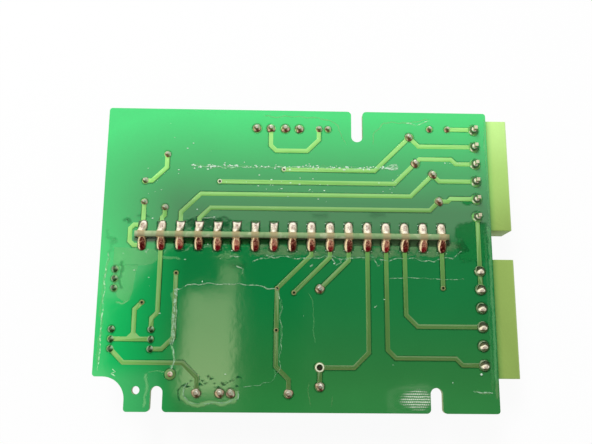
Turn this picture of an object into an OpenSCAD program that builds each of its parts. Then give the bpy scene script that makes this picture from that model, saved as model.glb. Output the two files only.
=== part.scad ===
// Control board: a main circuit board that lies solder side up on its tallest parts,
// with an upright daughterboard through its middle and two plug-in headers on one edge.
// Millimetres, +Z up. The origin is under the middle of the whole part, on the plane it rests on.
// Every place on the board is measured from the middle of the main board.

/* [Main board] */
// Length of the main board
board_w = 106.1; // [102:0.1:116]
// Width of the main board
board_d = 82.4; // [81:0.1:92]
// Thickness of the main board
board_t = 1.6; // [1:0.1:2.4]
// Height of the tallest parts under the main board
under_h = 16; // [14:0.5:22]
// Rounding of the board's own corners
corner_r = 0.8; // [0.3:0.1:2]
// Diameter of the locating hole
locating_d = 2.1; // [1:0.1:3]
// Locating hole to the left edge
locating_from_left = 11.4; // [10.6:0.1:12.5]
// Locating hole to the lower edge
locating_from_bottom = 5.4; // [3:0.1:8]

/* [Edge slots and corner notch] */
// Width of each edge slot
slot_w = 3.2; // [2:0.1:4]
// Depth of the slot in the upper edge
top_slot_depth = 9; // [4:0.1:12]
// Depth of the two slots in the lower edge
bottom_slot_depth = 6.5; // [3:0.1:9]
// Rounding at the mouth of a slot
mouth_r = 1.1; // [0.3:0.1:1.5]
// Upper slot to the right edge
top_slot_from_right = 36.6; // [30:0.1:38]
// Lower left slot to the left edge
left_slot_from_left = 16.8; // [15:0.1:18]
// Lower right slot to the right edge
right_slot_from_right = 16.5; // [8:0.1:22]
// Width of the notch in the lower left corner
notch_w = 8.5; // [4:0.1:9]
// Height of the notch in the lower left corner
notch_d = 8.8; // [4:0.1:11]
// Radius inside the notch
notch_r = 5.8; // [1:0.1:8]

/* [Tracks and pads] */
// Width of a solder-side track
track_w = 1.15; // [0.5:0.05:1.6]
// Height of a track over the board
track_t = 0.1; // [0.05:0.01:0.2]
// Width of a component-side track
under_track_w = 0.8; // [0.4:0.05:1.2]
// Radius of a large pad
big_pad_r = 1.25; // [1:0.05:1.5]
// Radius of a small pad
small_pad_r = 0.9; // [0.75:0.05:1.1]
// Radius of a via's ring
via_pad_r = 0.7; // [0.6:0.05:0.9]
// Diameter of a via's hole
via_d = 0.5; // [0.3:0.05:0.8]
// Diameter of the spare plated hole
spare_hole_d = 1.4; // [0.8:0.1:1.8]

/* [Plug-in headers] */
// Poles in each header
poles = 6; // [5:1:6]
// Pitch of the header pins
header_pitch = 5; // [4.5:0.01:5.08]
// Plastic past the outer poles, both ends together
header_ends = 1.9; // [1.4:0.1:2.6]
// Depth of a header, mouth to back
header_depth = 12; // [11:0.1:13]
// Height of a header under the board
header_h = 8.6; // [7.8:0.1:10]
// How far a header stands out past the board's right edge
header_overhang = 6.3; // [5:0.1:7]
// Side of a square header pin
pin_side = 0.9; // [0.7:0.05:1]
// Header pin to the board's right edge
pin_from_edge = 3.65; // [3.2:0.05:4.2]
// Length of an upper header's pin that stands over the solder face
pin_tail = 3; // [1.6:0.1:3.6]
// Length of a lower header's pin that stands over the solder face, inside its dome of solder
short_tail = 1.4; // [1:0.1:2.4]
// Middle of the two headers, over the middle of the board
headers_y = 3.65; // [2:0.05:5]
// Distance between the two headers, middle to middle
headers_apart = 40; // [36:0.5:44]
// Thickness of a header's walls
header_wall = 1; // [0.8:0.05:1.2]
// Depth of the mouth that takes the plug
mouth_depth = 8.2; // [6:0.1:8.6]

/* [Daughterboard] */
// Contact pairs along the daughterboard's edge
contacts = 17; // [15:1:17]
// Pitch of the contacts
contact_pitch = 5.08; // [4.6:0.01:5.15]
// Width of a contact
contact_w = 2.1; // [1.4:0.1:2.8]
// Thickness of the daughterboard
daughter_t = 1.5; // [1:0.1:2]
// Height of its edge over the solder face
edge_h = 2; // [1.2:0.1:3]
// Its middle, left of the middle of the main board
contacts_left = 1.4; // [0.6:0.1:1.8]
// Its middle, over the middle of the main board
contacts_y = 5.05; // [4.4:0.05:5.6]
// Board past the outer contacts at each end of the edge
edge_margin = 0.7; // [0.4:0.1:0.9]
// Width of the shoulder at each end, under the main board
shoulder = 2.4; // [1:0.1:3]
// Clearance of the edge in its slot, each side
edge_play = 0.2; // [0.12:0.02:0.3]

/* [Solder] */
// Length of a contact's solder pad, from the middle of the daughterboard
contact_reach = 3.95; // [3:0.05:4.3]
// Height of the solder on a contact
contact_solder_h = 1.6; // [0.8:0.1:2]
// Height of the solder round an upper header's pin
pin_solder_h = 1.5; // [0.8:0.1:2]
// Height of the solder round a wire lead
lead_solder_h = 1.1; // [0.6:0.1:1.4]
// Clearance of a lead in its hole
hole_play = 0.15; // [0.05:0.01:0.2]

/* [Rectifier and filter capacitor] */
// Pitch of the rectifier's leads
rectifier_pitch = 3.96; // [3.6:0.01:4.2]
// Length of the rectifier
rectifier_w = 15; // [14:0.1:17]
// Thickness of the rectifier
rectifier_t = 3.6; // [2.4:0.1:5]
// Height of the rectifier
rectifier_h = 10.5; // [8:0.1:11.5]
// Diameter of the filter capacitor
filter_d = 6.3; // [4:0.1:7]
// Height of the filter capacitor
filter_h = 11; // [7:0.1:12]
// Pitch of the filter capacitor's leads
filter_pitch = 2.54; // [2:0.01:2.8]

/* [Resistor, capacitors and suppressors] */
// Distance between the resistor's leads
resistor_pitch = 15.1; // [13:0.1:16]
// Length of the resistor's body
resistor_l = 9.6; // [6:0.1:10]
// Diameter of the resistor's body
resistor_d = 3.6; // [2:0.1:4.5]
// Distance between the film capacitor's leads
film_pitch = 6; // [4:0.1:7.5]
// Length of the film capacitor
film_l = 9; // [8.4:0.1:10]
// Thickness of the film capacitor
film_t = 4; // [2.5:0.1:4.6]
// Height of the film capacitor
film_h = 8.5; // [5:0.1:11]
// Diameter of a suppressor disc
disc_d = 10; // [8.5:0.1:10.6]
// Thickness of a suppressor disc
disc_t = 3.6; // [2.8:0.1:4.4]
// Distance between a suppressor's leads, along the disc
disc_pitch = 7.6; // [5:0.1:7.8]
// Offset between a suppressor's leads, across the disc
disc_offset = 1.5; // [0:0.1:1.8]
// Diameter of the small disc capacitor
chipcap_d = 7.2; // [7:0.1:8]
// Thickness of the small disc capacitor
chipcap_t = 2.4; // [1.8:0.1:3]
// Distance between the small disc capacitor's leads
chipcap_pitch = 5.08; // [4.4:0.01:5.2]

/* [Jumpers] */
// Pitch of the jumper pins
jumper_pitch = 2.54; // [2.2:0.01:2.6]
// Side of a square jumper pin
jumper_pin = 0.64; // [0.5:0.02:0.7]
// Length of a jumper pin under its strip
jumper_pin_h = 6; // [5:0.1:7]
// Width of a jumper strip
strip_w = 2.5; // [2.2:0.05:2.9]
// Height of a jumper strip
strip_h = 2.5; // [2:0.1:3]
// Height of a shunt
shunt_h = 5; // [4:0.1:5.6]

/* [Relay] */
// Length of the solid state relay
relay_w = 26.5; // [25:0.1:28]
// Thickness of the solid state relay
relay_t = 6.4; // [5:0.1:7.6]
// Gap between the relay and the board
relay_gap = 0.8; // [0.3:0.1:1.5]

/* [Coin cell] */
// Diameter of the coin cell
cell_d = 20; // [18:0.1:20.4]
// Thickness of the coin cell
cell_t = 3.2; // [2.5:0.1:4]
// Distance between the holder's two pins
holder_pitch = 25.4; // [24.8:0.1:26]
// Wall of the holder
holder_wall = 1.4; // [1:0.1:1.6]
// Width of a contact strip
strip_contact_w = 2.4; // [1.6:0.1:3]

/* [Parts on the daughterboard] */
// Side of the controller chip
chip_side = 9.6; // [8:0.1:10]
// Height of a chip's body off the daughterboard
chip_t = 1.5; // [1:0.1:2.2]
// Leads on each side of the controller chip
chip_leads_side = 11; // [6:1:11]
// Length of a driver chip
driver_l = 9.6; // [9.2:0.1:10.4]
// Width of a driver chip
driver_w = 4; // [3.2:0.1:5]
// Leads on each side of a driver chip
driver_leads_side = 8; // [4:1:8]
// Length of the crystal's can
crystal_l = 11; // [9:0.1:12]
// Length of a chip resistor or chip capacitor
chip_part_l = 2; // [1.6:0.1:2.4]

/* [Hidden] */
$fn = 48;

// Levels: the component face is underneath, the solder face is on top
face_z = under_h + board_t;
copper_z = face_z + track_t;
seat_z = under_h - track_t;
// Edges of the board
left = -board_w / 2;
right = board_w / 2;
bottom = -board_d / 2;
top = board_d / 2;

// Places of the header pins
pin_x = right - pin_from_edge;
upper_y = headers_y + headers_apart / 2;
lower_y = headers_y - headers_apart / 2;
function pole_y(middle, i) = middle + ((poles - 1) / 2 - i) * header_pitch;
pin_ys = [for (m = [upper_y, lower_y], i = [0 : poles - 1]) pole_y(m, i)];
header_w = poles * header_pitch + header_ends;
mouth_x = right + header_overhang;
pin_drop = header_h / 2;

// Places of the contacts
edge_x = -contacts_left;
function contact_x(k) = edge_x + (k - (contacts - 1) / 2) * contact_pitch;
edge_w = (contacts - 1) * contact_pitch + contact_w + 2 * edge_margin;
contact_t = 0.1;
edge_face = daughter_t / 2 + contact_t;
edge_slot = daughter_t / 2 + edge_play;
above_contacts = contacts_y + contact_reach;
below_contacts = contacts_y - contact_reach;

// Places of the wire leads
rectifier_at = [-5.7, top - 5.4];
rectifier_xs = [for (i = [-1.5 : 1.5]) rectifier_at.x + i * rectifier_pitch];
filter_at = [7, rectifier_at.y];
filter_xs = [for (i = [-0.5, 0.5]) filter_at.x + i * filter_pitch];
resistor_at = [left + 16.75, 20.3];
film_at = [left + 11.05, 17.2];
disc_at = [[right - 21.2, upper_y + 6.3], [right - 14.9, upper_y - 4.5]];
chipcap_at = [right - 13.55, pin_ys[0] + 0.15];
jumper_at = [[left + 4.25, -6.9], [left + 4.25, -22.75], [left + 14.6, -22.75]];
relay_y = bottom + 4.8;
relay_x = -14;
relay_xs = [relay_x - 12, relay_x - 5.95, relay_x - 3.1, relay_x + 11.85];
cell_at = [6, -21.9];
spare_hole = [cell_at.x, cell_at.y - 7.8];
plugged_hole = [left + 20.15, bottom + 9.5];
locating = [left + locating_from_left, bottom + locating_from_bottom];

function disc_leads(at) = [[at.x - disc_offset / 2, at.y + disc_pitch / 2],
    [at.x + disc_offset / 2, at.y - disc_pitch / 2]];
function row_y(at, pitch) = [[at.x, at.y + pitch / 2], [at.x, at.y - pitch / 2]];
resistor_pins = row_y(resistor_at, resistor_pitch);
film_pins = row_y(film_at, film_pitch);
cell_pins = row_y(cell_at, holder_pitch);
chipcap_pins = [for (s = [-1, 1]) [chipcap_at.x + s * chipcap_pitch / 2, chipcap_at.y]];
suppressor_pins = [for (at = disc_at) each disc_leads(at)];
rectifier_pins = [for (x = rectifier_xs) [x, rectifier_at.y]];
filter_pins = [for (x = filter_xs) [x, filter_at.y]];
relay_pins = [for (x = relay_xs) [x, relay_y]];
jumper_pins_at = [for (at = jumper_at, i = [1, 0, -1]) [at.x, at.y + i * jumper_pitch]];
header_pins_at = [for (y = pin_ys) [pin_x, y]];

// Wire sizes, and the holes and pads that go with them
thick_lead = 0.8;
thin_lead = 0.6;
big_leads = concat(rectifier_pins, suppressor_pins, relay_pins, cell_pins);
small_leads = concat(filter_pins, resistor_pins, film_pins, chipcap_pins);
thick_hole = thick_lead + 2 * hole_play;
thin_hole = thin_lead + 2 * hole_play;
square_hole = jumper_pin * sqrt(2) + 2 * hole_play;
pin_hole = pin_side * sqrt(2) + 2 * hole_play;
header_pad_r = 1.5;
lead_end_z = copper_z + lead_solder_h + 0.3;

// Gaps between the bodies of the wire-ended parts and the board
rectifier_gap = 1.5;
filter_gap = 0.3;
resistor_gap = 0.3;
film_gap = 0.2;
disc_gap = 1;

// Lanes that the long tracks run in, and the vias
lane = [for (i = [0 : 3]) pin_ys[4] - 3.35 + [0, 3.9, 7.45, 11.1][i]];
vias = [[-21.6, lane[2]], [-3.95, lane[3]], [-32.5, -5.25], [-41.2, -13.2],
    [-5.4, cell_pins[0].y + 0.1], [-0.9, cell_pins[0].y - 1], [-5.5, -20.15],
    [contact_x(contacts - 1), -8.6]];

// ---- shared shapes ----

// Moves what is drawn from the middle of the board to the part's own frame
module placed() {
    translate([-header_overhang / 2, 0, 0]) children();
}

function unit(v) = v / norm(v);
function left_of(v) = [-v.y, v.x];
function heading(p, i) = unit(p[min(i + 1, len(p) - 1)] - p[min(i, len(p) - 2)]);
function came(p, i) = i == 0 ? heading(p, 0) : unit(p[i] - p[i - 1]);
function mitre(p, i) = let (a = left_of(came(p, i)), b = left_of(heading(p, i)))
    (a + b) / (1 + a * b);
function side(p, w) = [for (i = [0 : len(p) - 1]) p[i] + mitre(p, i) * w / 2];

// Copper track of even width along a list of points, with mitred corners
module track(points, w = track_w) {
    far = side(points, -w);
    linear_extrude(track_t)
        polygon(concat(side(points, w), [for (i = [len(far) - 1 : -1 : 0]) far[i]]));
}

module discs(places, r) {
    for (at = places) translate(at) circle(r = r);
}

// What is left outside a rounded corner at the origin, for a corner that points to +x +y
module corner_waste(r) {
    difference() {
        translate([-r, -r]) square(r + 1);
        translate([-r, -r]) circle(r = r);
    }
}

// Slot that opens upward at the origin, with a round end and a rounded mouth
module edge_cut(depth) {
    translate([-slot_w / 2, slot_w / 2 - depth]) square([slot_w, depth - slot_w / 2 + 1]);
    translate([0, slot_w / 2 - depth]) circle(d = slot_w);
    for (s = [0, 1]) mirror([s, 0]) translate([slot_w / 2, 0]) mirror([1, 0]) corner_waste(mouth_r);
}

// Concave profile of solder that climbs from radius r0 to radius r1 over height h
function climb(r0, r1, h, n = 6) = [for (i = [0 : n]) let (t = i / n) [r1 + (r0 - r1) * (1 - t) ^ 2, h * t]];

module solder_cone(r0, r1, h) {
    rotate_extrude() polygon(concat([[0, 0]], climb(r0, r1, h), [[0, h]]));
}

// ---- main board ----

module board_outline() {
    difference() {
        translate([left, bottom]) square([board_w, board_d]);
        // rounded outer corners
        translate([right, top]) corner_waste(corner_r);
        translate([left, top]) mirror([1, 0]) corner_waste(corner_r);
        translate([right, bottom]) mirror([0, 1]) corner_waste(corner_r);
        // notch in the lower left corner, with a round inner corner
        translate([left - 1, bottom - 1]) square([notch_w + 1 - notch_r, notch_d + 1]);
        translate([left - 1, bottom - 1]) square([notch_w + 1, notch_d + 1 - notch_r]);
        translate([left + notch_w - notch_r, bottom + notch_d - notch_r]) circle(r = notch_r);
        translate([left, bottom + notch_d]) mirror([1, 0]) mirror([0, 1]) corner_waste(corner_r);
        translate([left + notch_w, bottom]) mirror([1, 0]) mirror([0, 1]) corner_waste(corner_r);
        // slots for the ribs of a case
        translate([right - top_slot_from_right, top]) edge_cut(top_slot_depth);
        for (x = [left + left_slot_from_left, right - right_slot_from_right])
            translate([x, bottom]) mirror([0, 1]) edge_cut(bottom_slot_depth);
    }
}

module daughter_slot() {
    w = edge_w + 2 * edge_play;
    translate([edge_x - w / 2, contacts_y - edge_slot]) square([w, 2 * edge_slot]);
}

module plated_holes() {
    discs(header_pins_at, pin_hole / 2);
    discs(jumper_pins_at, square_hole / 2);
    discs(big_leads, thick_hole / 2);
    discs(small_leads, thin_hole / 2);
    discs(vias, via_d / 2);
    discs([spare_hole], spare_hole_d / 2);
}

module main_board() {
    color([0.12, 0.55, 0.28]) placed() translate([0, 0, under_h]) linear_extrude(board_t) difference() {
        board_outline();
        daughter_slot();
        plated_holes();
        discs([locating], locating_d / 2);
    }
}

// ---- copper ----

module contact_pads() {
    for (k = [0 : contacts - 1], s = [-1, 1])
        translate([contact_x(k) - contact_w / 2, contacts_y + (s > 0 ? edge_slot : -contact_reach), 0])
            cube([contact_w, contact_reach - edge_slot, track_t]);
}

module round_pads(places, r) {
    for (at = places) translate(at) cylinder(r = r, h = track_t);
}

module ring_pads() {
    round_pads(header_pins_at, header_pad_r);
    round_pads(jumper_pins_at, small_pad_r);
    round_pads(big_leads, big_pad_r);
    round_pads(small_leads, small_pad_r);
    round_pads(vias, via_pad_r);
    round_pads([spare_hole, plugged_hole], spare_hole_d);
}

// Drills the plated holes through a layer of copper
module drilled() {
    difference() {
        union() children();
        translate([0, 0, -board_t]) linear_extrude(3 * board_t) plated_holes();
    }
}

// Runs from the contacts, the leads and the vias over the solder face
module solder_side_runs() {
    rect_1 = rectifier_pins[1];
    filter_1 = filter_pins[0];
    low = rect_1.y - 6.4;
    track([rect_1, [rect_1.x, low + 1.5], [rect_1.x + 1.5, low], [filter_1.x - 3.3, low],
        [filter_1.x, low + 3.3], filter_1]);

    r = resistor_pins[0];
    f = film_pins[0];
    jog = r.x - f.x - 1.8;
    track([r, [r.x, f.y + jog], [r.x - jog, f.y], f]);
    track([film_pins[1], [film_pins[1].x, above_contacts - 0.3]]);
    r2 = resistor_pins[1];
    jog2 = r2.x - contact_x(1);
    track([r2, [r2.x, above_contacts + 0.9 + abs(jog2)], [contact_x(1), above_contacts + 0.9],
        [contact_x(1), above_contacts - 0.3]]);

    // loop that joins the first contact's two pads round the end of the slot
    end_x = edge_x - edge_w / 2 - 1.6;
    x0 = contact_x(0) - contact_w / 4;
    track([[x0, contacts_y + 2.75], [end_x + 1, contacts_y + 2.75], [end_x, contacts_y + 1.75],
        [end_x, contacts_y - 1.75], [end_x + 1.1, contacts_y - 2.85], [x0, contacts_y - 2.85]]);

    // contacts and vias to the upper header, by way of the suppressors
    c = suppressor_pins[2];
    d = suppressor_pins[3];
    a = suppressor_pins[0];
    b = suppressor_pins[1];
    rise = above_contacts + 2.45;
    x2 = contact_x(2);
    track([[x2, above_contacts - 0.3], [x2, rise], [x2 + lane[1] - rise, lane[1]],
        [c.x - (c.y - lane[1]), lane[1]], c, [c.x + c.y - pin_ys[3], pin_ys[3]], [pin_x, pin_ys[3]]]);
    x3 = contact_x(3);
    rise3 = above_contacts + 0.9;
    track([[x3, above_contacts - 0.3], [x3, rise3], [x3 + lane[0] - rise3, lane[0]],
        [d.x - (d.y - lane[0]), lane[0]], d, [d.x + 2.5, d.y], [d.x + 2.5 + pin_ys[4] - d.y, pin_ys[4]],
        [pin_x, pin_ys[4]]]);
    hop = pin_ys[2] + 1.3;
    track([vias[0], [b.x - (b.y - lane[2]), lane[2]], [b.x + hop - b.y, hop], [pin_x - 6.7, hop],
        [pin_x - 6.7 + 1.3, pin_ys[2]], [pin_x, pin_ys[2]]]);
    track([vias[1], [a.x - (a.y - lane[3]), lane[3]], a, [a.x + a.y - pin_ys[1], pin_ys[1]],
        [pin_x, pin_ys[1]]]);
    track([chipcap_pins[1], [pin_x, chipcap_pins[1].y]]);
    track([[pin_x, pin_ys[poles - 1]], [pin_x, pin_ys[poles + min(1, poles - 1)]]]);

    // contacts to the jumpers, the relay and the vias at the lower left
    j = jumper_pins_at;
    x1 = contact_x(1);
    step = x1 - j[6].x;
    climb_over = 2.9;
    track([[x1, below_contacts + 0.3], [x1, j[6].y + climb_over + step], [j[6].x, j[6].y + climb_over],
        j[6]]);
    bend = 3;
    track([vias[2], [vias[2].x, j[8].y + bend], [vias[2].x - bend, j[8].y], j[8]]);
    mid_x = (j[4].x + j[7].x) / 2 + 0.6;
    track([j[4], j[7]]);
    track([vias[3], [mid_x, vias[3].y - (vias[3].x - mid_x)], [mid_x, j[4].y]]);
    for (s = [-1, 1]) track([[mid_x, j[4].y + 1.7], [mid_x + s * 1.7, j[4].y]], track_w * 0.7);
    fall = j[5].y - 3.5;
    p = relay_pins[0];
    track([j[5], [j[5].x + 3.5, fall], [p.x - 3.8, fall], [p.x, fall - 3.8], p]);

    // contacts to the vias and the coin cell in the middle
    x9 = contact_x(9);
    q = relay_pins[3];
    v = vias[4];
    far = x9 - v.x;
    track([[x9, below_contacts + 0.3], [x9, v.y + far], v, vias[6], [vias[6].x, fall - 0.7],
        [q.x, fall - 0.7 - (q.x - vias[6].x)], q]);
    x10 = contact_x(10);
    track([[x10, below_contacts + 0.3], [x10, vias[5].y + x10 - vias[5].x], vias[5]]);
    x11 = contact_x(11);
    g = cell_pins[0];
    track([[x11, below_contacts + 0.3], [x11, g.y + x11 - g.x], g]);
    x12 = contact_x(12);
    track([[x12, below_contacts + 0.3], [x12, spare_hole.y + 3.9], [x12 - 3.9, spare_hole.y],
        spare_hole, cell_pins[1]]);

    // contacts to the lower header
    last = pin_ys[2 * poles - 1];
    x13 = contact_x(13);
    track([[x13, below_contacts + 0.3], [x13, last + 3.8], [x13 + 2.1, last + 1.7],
        [pin_x - 7.4, last + 1.7], [pin_x - 5.7, last], [pin_x, last]]);
    near = pin_ys[2 * poles - 3];
    x14 = contact_x(14);
    track([[x14, below_contacts + 0.3], [x14, near + 3], [x14 + 3, near], [pin_x, near]]);
    track([[contact_x(contacts - 1), below_contacts + 0.3], vias[7]]);
}

module solder_side_tracks() {
    color([0.6, 0.82, 0.4]) placed() translate([0, 0, face_z]) drilled() {
        solder_side_runs();
        contact_pads();
        ring_pads();
    }
}

// Runs on the component face: each goes from a via or a lead to a contact
module component_side_runs() {
    w = under_track_w;
    up = above_contacts;
    down = below_contacts;
    // contacts and the leads above them
    v0 = vias[0];
    v1 = vias[1];
    track([v0, [v0.x, up + 2 + contact_x(4) - v0.x], [contact_x(4), up + 2], [contact_x(4), up - 0.3]], w);
    track([v1, [v1.x, up + 2 + contact_x(8) - v1.x], [contact_x(8), up + 2], [contact_x(8), up - 0.3]], w);
    track([filter_pins[1], [filter_pins[1].x, up + 5], [contact_x(11) - 2, up + 2],
        [contact_x(11), up - 0.3]], w);
    // contacts and the vias below them
    track([vias[2], [vias[2].x, down - 1], [contact_x(2), down + 0.3]], w);
    track([vias[3], [contact_x(0), vias[3].y + 1], [contact_x(0), down + 0.3]], w);
    track([vias[5], [contact_x(8), vias[5].y + 1.5], [contact_x(8), down + 0.3]], w);
    run_in = 4;
    third_pin = pin_ys[poles + min(2, poles - 1)];
    track([vias[7], [pin_x - run_in, vias[7].y], [pin_x - run_in, third_pin + run_in],
        [pin_x, third_pin]], w);
    // jumpers to their contacts
    j = jumper_pins_at;
    x0 = contact_x(0) + 1;
    track([j[0], [j[0].x + 2, j[0].y + 2], [x0, j[0].y + 2], [x0, down + 0.3]], w);
    track([j[1], [contact_x(1), j[1].y], [contact_x(1), down + 0.3]], w);
    track([relay_pins[1], [relay_pins[1].x, down - 4], [contact_x(5), down - 2],
        [contact_x(5), down + 0.3]], w);
    track([relay_pins[2], [relay_pins[2].x, down - 4], [contact_x(6), down - 2],
        [contact_x(6), down + 0.3]], w);
}

module component_side_tracks() {
    color([0.55, 0.76, 0.38]) placed() translate([0, 0, seat_z]) drilled() {
        component_side_runs();
        round_pads(vias, via_pad_r);
    }
}

// ---- plug-in headers ----

// One bent pin: up through the board, and forward into the mouth
module header_pin(tail) {
    s = pin_side;
    setback = 1.5;
    low = seat_z - pin_drop - s / 2;
    translate([pin_x - s / 2, -s / 2, low]) {
        cube([s, s, face_z + tail - low]);
        cube([s / 2 + mouth_x - setback - pin_x, s, s]);
    }
}

module header_pins(middle, tail) {
    color([0.78, 0.79, 0.8]) placed() for (i = [0 : poles - 1])
        translate([0, pole_y(middle, i), 0]) header_pin(tail);
}

module header_housing(middle) {
    inside_w = poles * header_pitch;
    inside_h = header_h - 2 * header_wall;
    back_x = mouth_x - header_depth;
    color([0.66, 0.85, 0.42]) placed() translate([0, middle, 0]) difference() {
        translate([back_x, -header_w / 2, seat_z - header_h]) cube([header_depth, header_w, header_h]);
        // mouth for the plug
        translate([mouth_x - mouth_depth, -inside_w / 2, seat_z - header_wall - inside_h])
            cube([mouth_depth + 1, inside_w, inside_h]);
        for (i = [0 : poles - 1]) translate([0, pole_y(0, i), 0]) {
            header_pin(pin_tail);
            // channel that the pin is pressed into from behind
            translate([back_x - 1, -pin_side / 2, seat_z - pin_drop - pin_side / 2])
                cube([pin_x - back_x + 1, pin_side, pin_drop + pin_side / 2 + 1]);
            // notch that latches one pole of the plug
            translate([mouth_x - 3, -1.1, seat_z - header_h - 1]) cube([4, 2.2, header_wall + 2]);
        }
    }
}

module upper_header_housing() { header_housing(upper_y); }
module lower_header_housing() { header_housing(lower_y); }
module upper_header_pins() { header_pins(upper_y, pin_tail); }
module lower_header_pins() { header_pins(lower_y, short_tail); }

// ---- daughterboard ----

// Moves what is drawn to the middle plane of the daughterboard
module on_edge_plane() {
    translate([edge_x, contacts_y, 0]) children();
}

module daughterboard() {
    color([0.62, 0.68, 0.42]) placed() on_edge_plane() {
        body_w = edge_w + 2 * shoulder;
        translate([-body_w / 2, -daughter_t / 2, 0]) cube([body_w, daughter_t, under_h]);
        translate([-edge_w / 2, -daughter_t / 2, under_h]) cube([edge_w, daughter_t, board_t + edge_h]);
    }
}

module daughterboard_contacts() {
    len = 3;
    color([0.8, 0.72, 0.5]) placed() for (k = [0 : contacts - 1], s = [-1, 1])
        translate([contact_x(k) - contact_w / 2, contacts_y + (s > 0 ? daughter_t / 2 : -edge_face),
            under_h - len])
            cube([contact_w, contact_t, len + board_t + edge_h - 0.1]);
}

// ---- solder ----

// One joint between the boards: a concave wedge that climbs the daughterboard, round at its far end
module contact_joint() {
    reach = contact_reach - edge_face;
    w = contact_w + 0.2;
    intersection() {
        rotate([90, 0, 90]) translate([0, 0, -w / 2]) linear_extrude(w)
            polygon(concat([[0, 0]], climb(reach, 0.35, contact_solder_h), [[0, contact_solder_h]]));
        linear_extrude(contact_solder_h + 1) {
            translate([-w / 2, -0.5]) square([w, reach + 0.5 - w / 2]);
            translate([0, reach - w / 2]) circle(d = w);
        }
    }
}

module contact_solder(s) {
    color([0.85, 0.85, 0.84]) placed() for (k = [0 : contacts - 1])
        translate([contact_x(k), contacts_y + s * edge_face, copper_z]) mirror([0, s > 0 ? 0 : 1])
            contact_joint();
}

module upper_contact_solder() { contact_solder(1); }
module lower_contact_solder() { contact_solder(-1); }

// Solder round the header pins: it leaves only the tips of the short ones bare
module header_pin_solder() {
    bare_tip = 0.15;
    short_h = face_z + short_tail - bare_tip - copper_z;
    color([0.85, 0.85, 0.84]) placed() for (i = [0 : len(header_pins_at) - 1])
        translate([header_pins_at[i].x, header_pins_at[i].y, copper_z]) difference() {
            solder_cone(header_pad_r - 0.05, pin_side * 0.75, i < poles ? pin_solder_h : short_h);
            cube([pin_side, pin_side, 4 * max(pin_solder_h, short_h)], center = true);
        }
}

// Solder round one round lead
module lead_joint(pad_r, lead_d) {
    difference() {
        solder_cone(pad_r - 0.05, lead_d / 2 + 0.12, lead_solder_h);
        translate([0, 0, -1]) cylinder(d = lead_d, h = lead_solder_h + 2, $fn = 32);
    }
}

module lead_solder() {
    color([0.85, 0.85, 0.84]) placed() translate([0, 0, copper_z]) {
        for (at = big_leads) translate(at) lead_joint(big_pad_r, thick_lead);
        for (at = small_leads) translate(at) lead_joint(small_pad_r, thin_lead);
        for (at = jumper_pins_at) translate(at) difference() {
            solder_cone(small_pad_r - 0.05, jumper_pin * 0.75, lead_solder_h);
            cube([jumper_pin, jumper_pin, 4 * lead_solder_h], center = true);
        }
        // plugged test pad
        translate(plugged_hole) solder_cone(spare_hole_d / 2, 0.3, 0.3);
    }
}

// ---- parts on the component side ----

// Straight round lead from level z up through the board
module lead(at, z, d, end = lead_end_z) {
    translate([at.x, at.y, z]) cylinder(d = d, h = end - z, $fn = 32);
}

module rectifier() {
    cut = 2;
    color([0.12, 0.12, 0.13]) placed()
        translate([rectifier_at.x, rectifier_at.y + rectifier_t / 2, under_h - rectifier_gap - rectifier_h])
            rotate([90, 0, 0]) linear_extrude(rectifier_t) polygon([[-rectifier_w / 2, 0],
                [rectifier_w / 2 - cut, 0], [rectifier_w / 2, cut], [rectifier_w / 2, rectifier_h],
                [-rectifier_w / 2, rectifier_h]]);
}

module rectifier_leads() {
    color([0.78, 0.78, 0.8]) placed() for (at = rectifier_pins) lead(at, under_h - rectifier_gap, thick_lead);
}

module filter_capacitor() {
    r = filter_d / 2;
    groove = 1.2;
    color([0.1, 0.13, 0.3]) placed() translate([filter_at.x, filter_at.y, under_h - filter_gap - filter_h])
        rotate_extrude() polygon([[0, 0], [r - 0.3, 0], [r, 0.3], [r, filter_h - groove - 0.5],
            [r - 0.3, filter_h - groove - 0.2], [r - 0.3, filter_h - groove + 0.2],
            [r, filter_h - groove + 0.5], [r, filter_h - 0.3], [r - 0.3, filter_h], [0, filter_h]]);
}

module filter_capacitor_leads() {
    color([0.78, 0.78, 0.8]) placed() for (at = filter_pins) lead(at, under_h - filter_gap, thin_lead);
}

resistor_z = under_h - resistor_gap - resistor_d / 2;

module resistor() {
    r = resistor_d / 2;
    color([0.35, 0.5, 0.62]) placed() translate([resistor_at.x, resistor_at.y, resistor_z])
        rotate([90, 0, 0]) translate([0, 0, -resistor_l / 2]) rotate_extrude()
            polygon([[0, 0], [r * 0.75, 0], [r, 0.5], [r, 1.8], [r * 0.9, 2.3],
                [r * 0.9, resistor_l - 2.3], [r, resistor_l - 1.8], [r, resistor_l - 0.5],
                [r * 0.75, resistor_l], [0, resistor_l]]);
}

// Bent wire from each end of the resistor up through the board
module resistor_leads() {
    bend_r = 0.9;
    run = (resistor_pitch - resistor_l) / 2 - bend_r;
    color([0.78, 0.78, 0.8]) placed() translate([resistor_at.x, resistor_at.y, resistor_z])
        for (s = [0, 1]) mirror([0, s, 0]) {
            translate([0, resistor_l / 2 + run, 0]) rotate([90, 0, 0])
                cylinder(d = thin_lead, h = run, $fn = 32);
            translate([0, resistor_l / 2 + run, bend_r]) rotate([0, 90, 0]) rotate_extrude(angle = 90)
                translate([bend_r, 0]) circle(d = thin_lead, $fn = 32);
            lead([0, resistor_pitch / 2], bend_r, thin_lead, lead_end_z - resistor_z);
        }
}

module film_capacitor() {
    low = under_h - film_gap - film_h;
    color([0.78, 0.25, 0.15]) placed() translate([film_at.x, film_at.y, low]) difference() {
        translate([-film_t / 2, -film_l / 2, 0]) cube([film_t, film_l, film_h]);
        translate([0, film_l, 0]) rotate([90, 0, 0]) linear_extrude(2 * film_l) for (s = [0, 1])
            mirror([s, 0]) translate([film_t / 2, 0]) mirror([0, 1]) corner_waste(0.5);
    }
}

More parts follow.
